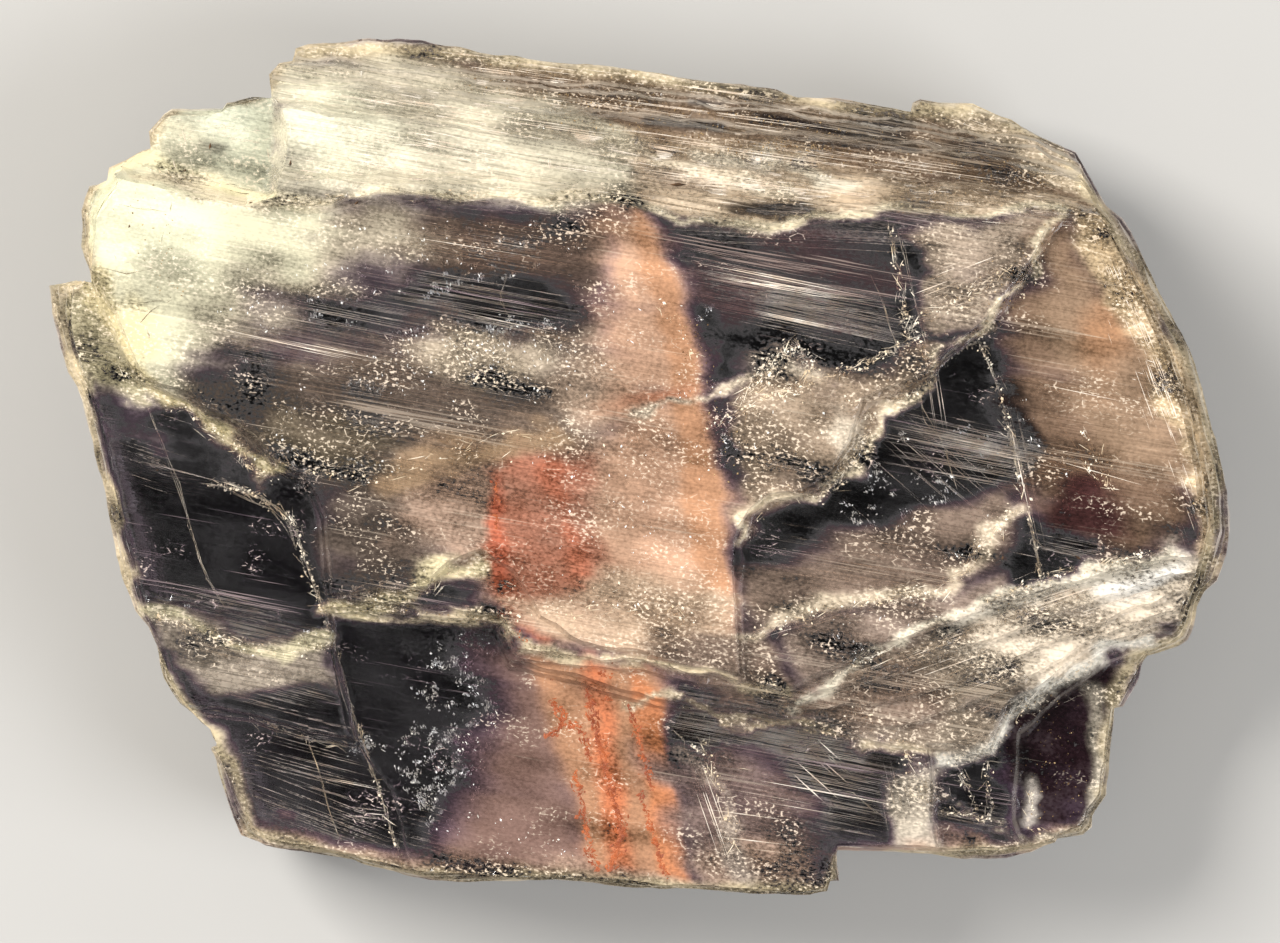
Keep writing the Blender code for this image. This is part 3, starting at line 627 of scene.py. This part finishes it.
def halved_rim(points, rim, longest):
    """The ends of the pieces of a flat face's rim, halved as halved() does."""
    starts, ends = points[rim[:, 0]], points[rim[:, 1]]
    while True:
        long = np.linalg.norm(starts - ends, axis=1) > longest
        if not long.any():
            return starts[:, :2], ends[:, :2]
        middle = (starts[long] + ends[long]) / 2
        starts, ends = (np.concatenate([starts[~long], starts[long], middle]),
                        np.concatenate([ends[~long], middle, ends[long]]))


def turned(points, faces):
    """Twice the area of each triangle in the plane, and below 0 where it goes round to the right."""
    a, b, c = (points[faces[:, k]] for k in range(3))
    return (b - a)[:, 0] * (c - a)[:, 1] - (b - a)[:, 1] * (c - a)[:, 0]


def inner_faces(points, faces, rim, starts, ends):
    """The triangles inside a rim. Those not parted by a rim edge go together, as the largest of them lies."""
    beside = {}
    for i, f in enumerate(faces.tolist()):
        for k in range(3):
            edge = (min(f[k], f[k - 1]), max(f[k], f[k - 1]))
            if edge not in rim:
                beside.setdefault(edge, []).append(i)
    joined = [[] for _ in faces]
    for pair in beside.values():
        if len(pair) == 2:
            joined[pair[0]].append(pair[1])
            joined[pair[1]].append(pair[0])
    a, b, c = (points[faces[:, k]] for k in range(3))
    size = np.abs(turned(points, faces))
    within = inside((a + b + c) / 3, starts, ends)
    keep, seen = [], [False] * len(faces)
    for first in range(len(faces)):
        if seen[first]:
            continue
        seen[first], group = True, [first]
        for i in group:
            for j in joined[i]:
                if not seen[j]:
                    seen[j] = True
                    group.append(j)
        if within[max(group, key=size.__getitem__)]:
            keep += group
    return faces[keep]


def refilled(rim, height, up, spacing):
    """Triangles that fill a flat rim, with a grid of points along the cleavage inside it."""
    starts, ends = rim
    grid = oblique_grid(starts.min(0), starts.max(0), spacing)
    grid = grid[inside(grid, starts, ends)]
    keep = []
    for some in range(0, len(grid), 1000):
        gaps = ((grid[some:some + 1000, None, :] - starts[None]) ** 2).sum(axis=2)
        keep.append(gaps.min(axis=1) > CLEAR_OF_RIM ** 2)
    grid = grid[np.concatenate(keep)] if keep else grid
    corners, where = np.unique(np.concatenate([starts, ends]), axis=0, return_inverse=True)
    given = np.concatenate([corners, grid])
    edges = [tuple(map(int, e)) for e in where.reshape(2, -1).T]
    result = delaunay_2d_cdt([Vector(p) for p in given], edges, [], 0, 1e-6)
    out, out_edges, faces, came_from, edge_from, _ = result
    out = np.array([given[c[0]] if c else tuple(p) for p, c in zip(out, came_from)])
    faces = np.array([tuple(f) for f in faces if len(f) == 3])
    rim_edges = {(min(e), max(e)) for e, source in zip(out_edges, edge_from) if source}
    faces = inner_faces(out, faces, rim_edges, starts, ends)
    faces = np.where(((turned(out, faces) > 0) == up)[:, None], faces, faces[:, ::-1])
    return np.column_stack([out, np.full(len(out), height)]), faces


def slab_mesh():
    """The fine slab, roughened, as a mesh in metres."""
    mesh = new_mesh("crystal", *fine_slab(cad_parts["selenite_crystal"].data))
    work = bmesh.new()
    work.from_mesh(mesh)
    bmesh.ops.dissolve_degenerate(work, dist=COLLAPSE, edges=work.edges)
    bmesh.ops.triangulate(work, faces=[f for f in work.faces if len(f.verts) > 3])
    work.to_mesh(mesh)
    work.free()
    normals = np.array([v.normal[:] for v in mesh.vertices])
    rough = roughened(coordinates(mesh), normals) * MM
    mesh.vertices.foreach_set("co", rough.astype(np.float32).reshape(-1))
    mesh.update()
    return mesh


def roughened(points, normals):
    """The slab's points with ragged edges, thin plates along the sides and low steps along the fibres."""
    lifted = np.clip(points[:, 2] / LIFT, 0, 1)
    fibres = in_fibres(points)
    out = points.copy()
    # Every edge wanders, because the whole slab is warped a little in its plane.
    for axis, seed in ((0, 11), (1, 21)):
        out[:, axis] += (layered(points, 3.2, seed, 3) - 0.5) * RAGGED * lifted
    # The sides are stacks of thin plates, each broken off a little further in or out.
    side = 1 - np.abs(normals[:, 2])
    plates = points.copy()
    plates[:, 2] = np.floor(points[:, 2] / PLATE + 0.9 * noise(fibres, (60.0, 9.0, 12.0), 31))
    depth = noise(plates * (1, 1, 7.7), (5.0, 5.0, 1.0), 32)
    out[:, :2] -= normals[:, :2] * (side * lifted * depth * PLATE_DEPTH)[:, None]
    # The front face and the ledges drop in low steps whose edges follow the fibres.
    up = smooth(normals[:, 2], 0.9, 0.99)
    wander = noise(fibres, (14.0, 1.2, 30.0), 41) + 0.35 * noise(fibres, (5.0, 0.5, 30.0), 42)
    out[:, 2] -= up * lifted * (np.floor(wander * STEPS) / STEPS) * STEP_DROP
    return out


# ---------------------------------------------------------------- the slab's paint

def painted(mesh):
    """Paints the slab's points with what stains and clouds it."""
    points = coordinates(mesh) / MM
    values = {name: np.full(len(points), value) for name, value in UNPAINTED.items()}
    values["tint"] = np.tile(linear(HAZE), (len(points), 1))
    clouds(values, points)
    rims(values, points, np.array([v.normal[:] for v in mesh.vertices]))
    for name, share in shares(values, points).items():
        mesh.attributes.new(name, "FLOAT", "POINT").data.foreach_set("value", share.astype(np.float32))
    tint = mesh.attributes.new("tint", "FLOAT_VECTOR", "POINT")
    tint.data.foreach_set("vector", values["tint"].astype(np.float32).reshape(-1))


def lay(values, mask, wanted):
    """Lays wanted values over part of the slab, wholly where mask is 1."""
    for name, value in wanted.items():
        share = mask[:, None] if name == "tint" else mask
        values[name] = values[name] * (1 - share) + value * share


def clouds(values, points):
    """Washes the slab with the photo's hazes, stains and milky parts."""
    fibres = in_fibres(points)
    wisps = layered(fibres, (16.0, 2.2, 20.0), 51, 4)
    lumps = layered(points, 6.0, 61, 4)
    swing = np.column_stack([layered(fibres, (9.0, 4.0, 20.0), seed, 4) - 0.5 for seed in (81, 91)])
    pixels = np.column_stack([PIXEL_X + points[:, 0] * PIXELS_PER_MM, PIXEL_Y - points[:, 1] * PIXELS_PER_MM])
    for shape, place, size, looks, sway, torn in CLOUDS:
        mask = shape(pixels + swing * sway, place, size)
        ragged = torn * (0.5 * wisps + 0.5 * lumps - 0.5) * TEAR
        lay(values, smooth(mask + ragged * (mask > 0), 0.0, 1.0), looks)


def rims(values, points, normals):
    """Clouds the broken sides of the slab, which scatter light where the flat faces don't."""
    side = smooth(1 - np.abs(normals[:, 2]), 0.1, 0.5) * (1 - 0.8 * smooth(points[:, 2], *SIDE_FADE))
    patches = layered(points, (14.0, 14.0, 9.0), 71, 3)
    thick = np.maximum(values["cover"], SIDE_COVER + SIDE_PATCHES * patches)
    lay(values, SIDE_TINT * (side * (1 - 0.8 * values["cover"])), {"tint": linear(BROKEN_SIDE)})
    lay(values, side, {"cover": thick, "soft": 1.1, "lace": 0.05, "streaks": 0.55})


def shares(values, points):
    """What the material needs at each point: how thick the haze, crumbs, lace and lines are."""
    fibres = in_fibres(points)
    billows = layered(fibres, (7.0, 3.5, 7.0), 101, 3) - 0.5
    patches = layered(fibres, (4.5, 2.6, 4.5), 111, 3)
    bands = layered(fibres, (26.0, 1.8, 6.0), 121, 2) - 0.5
    cover, soft = values["cover"], values["soft"]
    return {
        "haze": cover * np.maximum(1 + billows * (4.2 - 2.8 * soft), 0.05),
        "crumbs": cover * np.maximum(2.9 - 2.2 * soft, 0.2),
        "lace": patches + 0.36 * values["lace"],
        "lines": np.minimum(0.26 * values["streaks"] + 0.80 * bands, MOST_LINES),
        "gaps": values["streaks"],
    }


# ---------------------------------------------------------------- materials

class Nodes:
    """Builds the nodes of a material or a world."""

    def __init__(self, owner):
        owner.use_nodes = True
        self.tree = owner.node_tree

    def fill(self, node, values):
        """Sets a node's inputs to values, or links them to sockets."""
        for name, value in values.items():
            if isinstance(value, bpy.types.NodeSocket):
                self.tree.links.new(value, node.inputs[name])
            else:
                node.inputs[name].default_value = value

    def own(self, name, values):
        """Sets the inputs of a node that is there from the start."""
        self.fill(self.tree.nodes[name], values)

    def node(self, kind, values=(), **settings):
        """A new node with its inputs and settings."""
        n = self.tree.nodes.new(kind)
        for name, value in settings.items():
            setattr(n, name, value)
        self.fill(n, dict(values))
        return n

    def math(self, operation, a, b=0.0, c=0.0, clamp=False):
        """The result of a Math node."""
        inputs = {0: a, 1: b, 2: c}
        return self.node("ShaderNodeMath", inputs, operation=operation, use_clamp=clamp).outputs[0]

    def times(self, a, b):
        """The product of two numbers."""
        return self.math("MULTIPLY", a, b)

    def larger(self, a, b):
        """The larger of two numbers."""
        return self.math("MAXIMUM", a, b)

    def blend(self, share, a, b):
        """Two colours mixed by share."""
        return self.node("ShaderNodeMix", {0: share, 6: a, 7: b}, data_type="RGBA").outputs[2]

    def lerp(self, share, a, b):
        """Two numbers mixed by share."""
        return self.node("ShaderNodeMix", {0: share, 2: a, 3: b}, data_type="FLOAT").outputs[0]

    def step(self, value, low, high):
        """0 below low and 1 above high, softly."""
        inputs = {0: value, 1: low, 2: high}
        return self.node("ShaderNodeMapRange", inputs, interpolation_type="SMOOTHSTEP").outputs[0]

    def attribute(self, name, output="Fac"):
        """A value that is painted on the mesh."""
        return self.node("ShaderNodeAttribute", attribute_name=name).outputs[output]

    def place(self, scale, turn=0.0):
        """The place on the object in millimetres, turned about Z and then divided by scale."""
        source = self.node("ShaderNodeTexCoord").outputs["Object"]
        spin = {"Vector": source, "Rotation": (0.0, 0.0, math.radians(turn))}
        turned_place = self.node("ShaderNodeMapping", spin).outputs[0]
        share = tuple(1 / (MM * s) for s in scale)
        return self.node("ShaderNodeMapping", {"Vector": turned_place, "Scale": share}).outputs[0]

    def grain(self, scale, detail=3.0, rough=0.5, turn=0.0):
        """Noise from 0 to 1 with lumps as large as scale, in mm."""
        inputs = {"Vector": self.place(scale, turn), "Scale": 1.0, "Detail": detail, "Roughness": rough}
        return self.node("ShaderNodeTexNoise", inputs).outputs["Fac"]

    def cell_edges(self, scale, turn=0.0):
        """How far each place is from the edge of its straight-edged cell, as large as scale, in mm."""
        inputs = {"Vector": self.place(scale, turn), "Scale": 1.0}
        flat = {"feature": "DISTANCE_TO_EDGE", "voronoi_dimensions": "2D"}
        return self.node("ShaderNodeTexVoronoi", inputs, **flat).outputs["Distance"]


def colour(text):
    """A colour for a socket."""
    return (*linear(text), 1.0)


def slab_material():
    """Clear gypsum with haze, lacy cracks and cleavage lines, as much of each as is painted on the slab."""
    material = bpy.data.materials.new("clear_gypsum")
    n = Nodes(material)
    haze, crumbs, lace, lines, gaps = map(n.attribute, ("haze", "crumbs", "lace", "lines", "gaps"))
    fine = n.grain(FINE_LINES, 1.0, 0.6, -FIBRE_TURN)
    small = n.grain(CRUMBS, 1.0, 0.7, -FIBRE_TURN)
    edges = n.cell_edges(LACE_CELLS, -FIBRE_TURN)
    # Haze, with crumbs in it and darker gaps along the fibres.
    gap = n.times(n.step(fine, 0.50, 0.36), gaps)
    crumbled = n.math("MULTIPLY_ADD", n.math("SUBTRACT", small, 0.5), crumbs, haze)
    hazy = n.math("MULTIPLY", n.math("MULTIPLY_ADD", gap, -0.5, 1.0), crumbled, clamp=True)
    # Lace: thin straight cracks that meet at corners, and small white crumbs.
    broken = n.times(n.step(edges, 0.070, 0.020), n.step(small, 0.46, 0.60))
    curves = n.larger(n.times(broken, n.step(lace, 0.60, 0.80)),
                      n.times(n.step(small, 0.57, 0.66), n.step(lace, 0.70, 0.90)))
    # Cleavage lines: long and straight along the fibres.
    line = n.step(n.math("ADD", lines, fine), 0.80, 0.94)
    bright = n.larger(n.times(curves, 0.85), n.times(line, 0.42))
    thick = n.larger(hazy, bright)
    pale = n.blend(n.times(bright, 0.75), n.attribute("tint", "Vector"), colour(CRACK_WHITE))
    bump = n.node("ShaderNodeBump", {"Height": fine, "Strength": 0.2, "Distance": 0.0002})
    n.own("Principled BSDF", {
        "Base Color": n.blend(n.step(thick, 0.0, 0.12), colour(CLEAR), pale),
        "Roughness": n.lerp(n.step(thick, 0.05, 0.8), POLISHED, CLOUDED),
        "Transmission Weight": n.math("SUBTRACT", 1.0, thick, clamp=True),
        "IOR": GYPSUM_IOR,
        "Normal": bump.outputs[0],
    })
    # Painted shade: the absorption darkens the clear gypsum as the dark backdrop would, over the pale floor.
    painted_backdrop_dark = n.node("ShaderNodeVolumeAbsorption", {"Color": PAINTED_BACKDROP_DARK, "Density": PAINTED_BACKDROP_DARK_DENSITY})
    n.own("Material Output", {"Volume": painted_backdrop_dark.outputs[0]})
    return material


def plain_material(name, dark, light, grain, contrast, rough):
    """An opaque material, uneven from place to place. grain is the noise's scale, detail and roughness."""
    material = bpy.data.materials.new(name)
    n = Nodes(material)
    patches = n.grain(*grain)
    shade = n.step(patches, *contrast) if contrast else patches
    gloss = n.lerp(patches, *rough) if isinstance(rough, tuple) else rough
    n.own("Principled BSDF", {"Base Color": n.blend(shade, colour(dark), colour(light)), "Roughness": gloss})
    return material


def sliver_material(name, dark, light, gloss=0.35):
    """A pale or rusty crack filling, or grains."""
    return plain_material(name, dark, light, ((2.5, 2.5, 2.5), 3.0, 0.6), (0.35, 0.65), (gloss, gloss + 0.25))


# ---------------------------------------------------------------- cracks, veils and grains

class Ground:
    """Finds the height of the slab's upper side, in mm, from a grid of GRID_STEP."""

    def __init__(self, slab):
        mesh = slab.data
        faces = [p.vertices[:] for p in mesh.polygons]
        tree = BVHTree.FromPolygons([v.co[:] for v in mesh.vertices], faces)
        xs = np.arange(-REACH_X, REACH_X, GRID_STEP)
        ys = np.arange(-REACH_Y, REACH_Y, GRID_STEP)
        self.heights = np.zeros((len(xs), len(ys)))
        for i, x in enumerate(xs):
            for j, y in enumerate(ys):
                hit = tree.ray_cast((x * MM, y * MM, 1.0), (0, 0, -1))[0]
                self.heights[i, j] = hit.z / MM if hit is not None else BESIDE
        self.low = self.heights.copy()
        for beside in ((i, j) for i in (-1, 0, 1) for j in (-1, 0, 1)):
            self.low = np.minimum(self.low, np.roll(self.heights, beside, (0, 1)))

    def look(self, grid, places):
        """The height in a grid at each place, even between its points."""
        x = np.clip((places[..., 0] + REACH_X) / GRID_STEP, 0, grid.shape[0] - 1.001)
        y = np.clip((places[..., 1] + REACH_Y) / GRID_STEP, 0, grid.shape[1] - 1.001)
        i, j = x.astype(int), y.astype(int)
        u, v = x - i, y - j
        near = grid[i, j] * (1 - v) + grid[i, j + 1] * v
        far = grid[i + 1, j] * (1 - v) + grid[i + 1, j + 1] * v
        return near * (1 - u) + far * u

    def under(self, lines, exact):
        """The least height under each line of places, and close beside it as well unless exact."""
        t = np.linspace(0, lines.shape[1] - 1, LOOKS)
        i = np.minimum(t.astype(int), lines.shape[1] - 2)
        u = (t - i)[None, :, None]
        dense = lines[:, i] * (1 - u) + lines[:, i + 1] * u
        return self.look(self.heights if exact else self.low, dense).min(axis=1)


class Shards:
    """Many small closed solids, gathered for one mesh."""

    def __init__(self, ground, seed):
        self.ground, self.random = ground, np.random.default_rng(seed)
        self.points, self.faces, self.count = [], [], 0

    def slivers(self, lines, widths, depths, thick=0.6, exact=False):
        """Slivers, depths under the surface, that taper to both ends of lines, (slivers, places, 2)."""
        n, k = lines.shape[:2]
        under = self.ground.under(lines, exact)
        fits = under - depths > LEAST_HEIGHT
        lines, depths, under = lines[fits], depths[fits], under[fits]
        widths = np.broadcast_to(widths, n)[fits]
        n = len(lines)
        if n == 0:
            return
        z = np.repeat((under - depths)[:, None], k, axis=1)
        way = lines[:, -1] - lines[:, 0]
        way /= np.linalg.norm(way, axis=1)[:, None] + 1e-9
        line = np.concatenate([lines, z[:, :, None]], axis=2)
        t = np.linspace(0, 1, k)[1:-1]
        swell = (np.sin(math.pi * t) ** 0.5)[None, :, None] * widths[:, None, None]
        inner = line[:, 1:-1]
        offset = np.column_stack([across(way), np.zeros(n)])[:, None, :] * swell / 2
        lift = np.array([0, 0, 1.0]) * swell * thick
        rings = np.stack([inner + offset, inner - offset, inner + lift], axis=2).reshape(n, -1, 3)
        points = np.concatenate([line[:, :1], rings, line[:, -1:]], axis=1)
        starts = self.count + np.arange(n)[:, None, None] * points.shape[1]
        self.faces.append((np.array(spindle_faces(k))[None] + starts).reshape(-1, 3))
        self.points.append(points.reshape(-1, 3))
        self.count += n * points.shape[1]

    def curls(self, starts, turns, lengths, bends, widths, depths, stations=5):
        """Curved slivers from places, at angles that turn by bends, in radians, along their length."""
        t = np.linspace(0, 1, stations)
        angle = turns[:, None] + bends[:, None] * t[None, :]
        step = np.broadcast_to(lengths, len(starts))[:, None] / (stations - 1)
        lines = starts[:, None, :] + np.cumsum(headings(angle) * step[..., None], axis=1)
        self.slivers(lines, widths, depths)

    def mesh(self, name):
        """All the solids as a mesh in metres."""
        return new_mesh(name, np.concatenate(self.points) * MM, np.concatenate(self.faces))


def spindle_faces(stations):
    """The triangles of a sliver with one point at each end and rings of three between."""
    faces = [(0, 1 + (i + 1) % 3, 1 + i) for i in range(3)]
    last = 1 + 3 * (stations - 2)
    for ring in range(stations - 3):
        a, b = 1 + 3 * ring, 4 + 3 * ring
        for i in range(3):
            j = (i + 1) % 3
            faces += [(a + i, a + j, b + j), (a + i, b + j, b + i)]
    a = last - 3
    return faces + [(a + i, a + (i + 1) % 3, last) for i in range(3)]


def walk(line, fractions):
    """The points at fractions of the length of a line through pixels, and its direction there."""
    line = on_slab(line)
    steps = np.linalg.norm(np.diff(line, axis=0), axis=1)
    far = np.concatenate([[0], np.cumsum(steps)])
    at = fractions * far[-1]
    points = np.stack([np.interp(at, far, line[:, i]) for i in (0, 1)], axis=1)
    leg = np.clip(np.searchsorted(far, at, side="right") - 1, 0, len(steps) - 1)
    return points, (np.diff(line, axis=0) / steps[:, None])[leg]


def length_of(line):
    """The length in mm of a line through pixels."""
    return np.linalg.norm(np.diff(on_slab(line), axis=0), axis=1).sum()


def bundle(shards, row, fractions, width, depth, exact):
    """Straight lines side by side between two pixels, in a band as wide as spread pixels."""
    start, end, spread, count = row
    r = shards.random
    a, b = on_slab(start), on_slab(end)
    whole = np.linalg.norm(b - a)
    way = (b - a) / whole
    size = r.uniform(*fractions, count) * whole
    begin = r.uniform(-0.03, 1.03, count) * (whole - size)
    off = r.normal(0, spread / PIXELS_PER_MM / BAND, count)
    first = a + way * begin[:, None] + across(way) * off[:, None]
    heading = way + across(way) * r.normal(0, 0.006, count)[:, None]
    lines = np.stack([first + heading * (size * t)[:, None] for t in (0, 0.5, 1)], axis=1)
    shards.slivers(lines, r.uniform(*width, count), r.uniform(*depth, count), exact=exact)


def chips(shards, spots, size=(0.12, 0.6), depth=(0.0, 0.3), thick=0.3, exact=False):
    """Small flat chips of any turn at the given places, most of them tiny."""
    r = shards.random
    count = len(spots)
    whole = size[0] + (size[1] - size[0]) * r.uniform(0, 1, count) ** 2.5
    half = headings(r.uniform(0, math.pi, count)) * whole[:, None] / 2
    lines = np.stack([spots - half, spots, spots + half], axis=1)
    shards.slivers(lines, whole * r.uniform(0.35, 0.8, count), r.uniform(*depth, count), thick, exact)


def lace(shards, line, band, density, size=(0.5, 2.6), width=(0.04, 0.13), depth=(-0.03, 0.15),
         chip=0.8, chip_size=(0.12, 0.6)):
    """A ragged veil along a line: long curls that follow it, and chips, in a band as wide as band pixels."""
    r = shards.random
    count = int(length_of(line) * density)
    points, ways = walk(line, r.uniform(0, 1, count))
    lift = 0.4 + 0.6 * np.sin(points.sum(axis=1) * 0.9) ** 2
    spots = points + across(ways) * (r.normal(0, band / PIXELS_PER_MM / 2.6, count) * lift)[:, None]
    small = r.uniform(0, 1, count) < chip
    chips(shards, spots[small], chip_size, depth)
    ways, spots = ways[~small], spots[~small]
    count = len(spots)
    turns = np.arctan2(ways[:, 1], ways[:, 0]) + r.choice([0, math.pi], count) + r.normal(0, 0.35, count)
    sizes = r.uniform(*size, count)
    shards.curls(spots - 0.5 * sizes[:, None] * headings(turns), turns, sizes,
                 r.normal(0, 0.22, count), r.uniform(*width, count), r.uniform(*depth, count))


def feathers(shards, middle, radii, count):
    """Flecks in an ellipse of pixels: clumps of chips, with a comb of short steep slivers in each."""
    r = shards.random
    angle, far = r.uniform(0, 2 * math.pi, count), np.sqrt(r.uniform(0, 1, count))
    spots = on_slab(np.array(middle) + headings(angle) * radii * far[:, None])
    spread = r.uniform(0.15, 0.8, count)
    for _ in range(FLECK_CHIPS):
        clump = r.normal(0, 1, (count, 2)) * spread[:, None] * (1.0, 0.7)
        chips(shards, spots + clump, (0.08, 0.5), FLECK_DEPTH)
    lean = np.radians(FLECK_TURN) + r.normal(0, 0.35, count)
    for row in range(FLECK_ROWS):
        shift = (row - 1.5) * r.uniform(0.12, 0.25, count)
        heading = lean + r.normal(0, 0.15, count)
        half = headings(heading) * (r.uniform(0.2, 0.8, count) / 2)[:, None]
        middles = spots + across(headings(lean)) * shift[:, None] + r.normal(0, 0.12, (count, 2))
        lines = np.stack([middles - half, middles + r.normal(0, 0.05, (count, 2)), middles + half], axis=1)
        shards.slivers(lines, r.uniform(0.05, 0.16, count), r.uniform(*FLECK_DEPTH, count), 0.3)


def crack(shards, line, copies, width=(0.05, 0.13), depth=(0.0, 0.4), wander=0.16, exact=False):
    """A long crack: thin straight slivers end to end along a line, in a few copies that slip a little."""
    r = shards.random
    pieces = max(2, int(length_of(line) / CRACK_PIECE))
    for _ in range(copies):
        cuts = np.sort(np.concatenate([[0, 1], r.uniform(0, 1, pieces - 1)]))
        starts, ends = np.clip(cuts[:-1] - 0.01, 0, 1), np.clip(cuts[1:] + 0.01, 0, 1)
        places = [walk(line, t) for t in (starts, (starts + ends) / 2, ends)]
        slips = r.normal(0, wander / 2, pieces)[:, None]
        bends = r.normal(0, wander / 4, (3, pieces, 1))
        lines = [p + across(w) * (slips + bend) for (p, w), bend in zip(places, bends)]
        lines = np.stack(lines, axis=1)
        shards.slivers(lines, r.uniform(*width, pieces), r.uniform(*depth, pieces), exact=exact)


def cleavage_lines(shards):
    """The straight pale lines, in and just under the surface."""
    for rows, *looks in BUNDLES:
        for row in rows:
            bundle(shards, row, *looks)


def ledge_veils(shards):
    """The ragged pale veils along the ledges and veins, and the long cracks."""
    for *line, band, density in LACES:
        lace(shards, line, band, density)
    for *line, copies in CRACKS:
        crack(shards, line, copies)


def white_flecks(shards):
    """The feathery white flecks inside the slab."""
    for middle, radii, count in FLECKS:
        feathers(shards, middle, radii, count)


def rust_veins(shards):
    """The rusty veins of the orange band."""
    for *line, band, density in VEINS:
        lace(shards, line, band, 2 * density, size=(0.3, 1.0), width=(0.10, 0.30), depth=(-0.02, 0.1),
             chip=0.85, chip_size=(0.2, 0.9))


def sand_grains(shards):
    """Grains of sand stuck to the slab, most of them on the sloping top side."""
    for *line, band, count in SAND:
        points, ways = walk(line, shards.random.uniform(0, 1, count))
        off = shards.random.normal(0, band / PIXELS_PER_MM / BAND, count)
        chips(shards, points + across(ways) * off[:, None], (0.10, 0.34), (-0.02, 0.03), 0.7, True)


def dark_specks(shards):
    """The dark specks, and the brown hairline cracks of the milky corner."""
    for pixel, long, turn in SPECKS:
        way = along(turn) * long / 2
        middle = on_slab(pixel)
        line = np.stack([middle - way, middle + (0.03, -0.03), middle + way])[None]
        shards.slivers(line, np.array([0.35 * long ** 0.5]), np.array([0.0]), 0.5, True)
    for line in HAIRLINES:
        crack(shards, line, 2, (0.04, 0.09), (-0.02, 0.02), 0.2, True)


# ---------------------------------------------------------------- the scene

def placed(name, data, place=(0, 0, 0)):
    """A new object at a place in metres."""
    thing = bpy.data.objects.new(name, data)
    thing.location = place
    bpy.context.scene.collection.objects.link(thing)
    return thing


def piece(name, mesh, material):
    """An object that rides on the slab's body."""
    thing = placed(name, mesh)
    mesh.materials.append(material)
    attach(thing, "root")
    return thing


def floor():
    """The plain pale matt floor that the slab lies on."""
    corners = np.array([(-1, -1, 0), (1, -1, 0), (1, 1, 0), (-1, 1, 0)]) * FLOOR_REACH
    mesh = new_mesh("floor", corners, np.array([(0, 1, 2, 3)]))
    grain = ((40.0, 40.0, 40.0), 2.0, 0.5)
    mesh.materials.append(plain_material("floor", "B2B0AD", "B7B5B2", grain, None, 0.9))
    placed("floor", mesh, (0, 0, -FLOOR_GAP * MM))


def studio():
    """Soft light from all sides, a broad light from the upper left and a weaker one from the right."""
    world = bpy.data.worlds.new("studio")
    n = Nodes(world)
    way = n.node("ShaderNodeTexCoord").outputs["Generated"]
    height = n.node("ShaderNodeSeparateXYZ", {0: way}).outputs["Z"]
    shade = {"Value": height, "From Min": 0.6, "From Max": 0.97, "To Min": SKY_SIDES, "To Max": SKY_TOP}
    glow = n.node("ShaderNodeMapRange", shade).outputs[0]
    n.own("Background", {"Strength": glow, "Color": (1.0, 0.99, 0.97, 1.0)})
    world.cycles.sampling_method = "NONE"
    for name, place, size, power, tone in LAMPS:
        light = bpy.data.lights.new(name, "AREA")
        light.size, light.energy, light.color = size, power, tone
        placed(name, light, place).rotation_euler = (-Vector(place)).to_track_quat("-Z", "Y").to_euler()
    scene = bpy.context.scene
    scene.world = world
    scene.view_settings.view_transform = "Standard"
    scene.cycles.max_bounces, scene.cycles.transmission_bounces = 5, 5
    scene.cycles.diffuse_bounces, scene.cycles.glossy_bounces = 1, 1
    scene.cycles.light_sampling_threshold = 0.03
    scene.cycles.caustics_reflective = False


def camera():
    """A camera that looks straight down on the slab and frames it as the photo does."""
    data = bpy.data.cameras.new("camera")
    data.sensor_width, data.lens = SENSOR, SENSOR * CAMERA_ABOVE / FRAME_WIDTH
    data.clip_start, data.clip_end = 0.01, 10.0
    x, y = on_slab(FRAME_MIDDLE)
    bpy.context.scene.camera = placed("camera", data, (x * MM, y * MM, (FRONT + CAMERA_ABOVE) * MM))


def main():
    """Builds the scene."""
    floor()
    studio()
    camera()
    mesh = slab_mesh()
    painted(mesh)
    slab = piece("crystal", mesh, slab_material())
    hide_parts("selenite_crystal")
    ground = Ground(slab)
    for build, seed, material in (
        (cleavage_lines, 7, sliver_material("pale_cracks", "E6D2BC", "FFF4E6")),
        (ledge_veils, 17, sliver_material("veils", "E0C8A6", "FFF4E0")),
        (white_flecks, 27, sliver_material("flecks", "E4DED2", "FFFFFF")),
        (sand_grains, 47, sliver_material("sand", "6B4C2C", "D8B888", 0.5)),
        (dark_specks, 57, sliver_material("dirt", "2A1C10", "6A4A2C", 0.5)),
        (rust_veins, 37, sliver_material("rust", "8C4426", "B86438", 0.5)),
    ):
        shards = Shards(ground, seed)
        build(shards)
        piece(build.__name__, shards.mesh(build.__name__), material)


main()
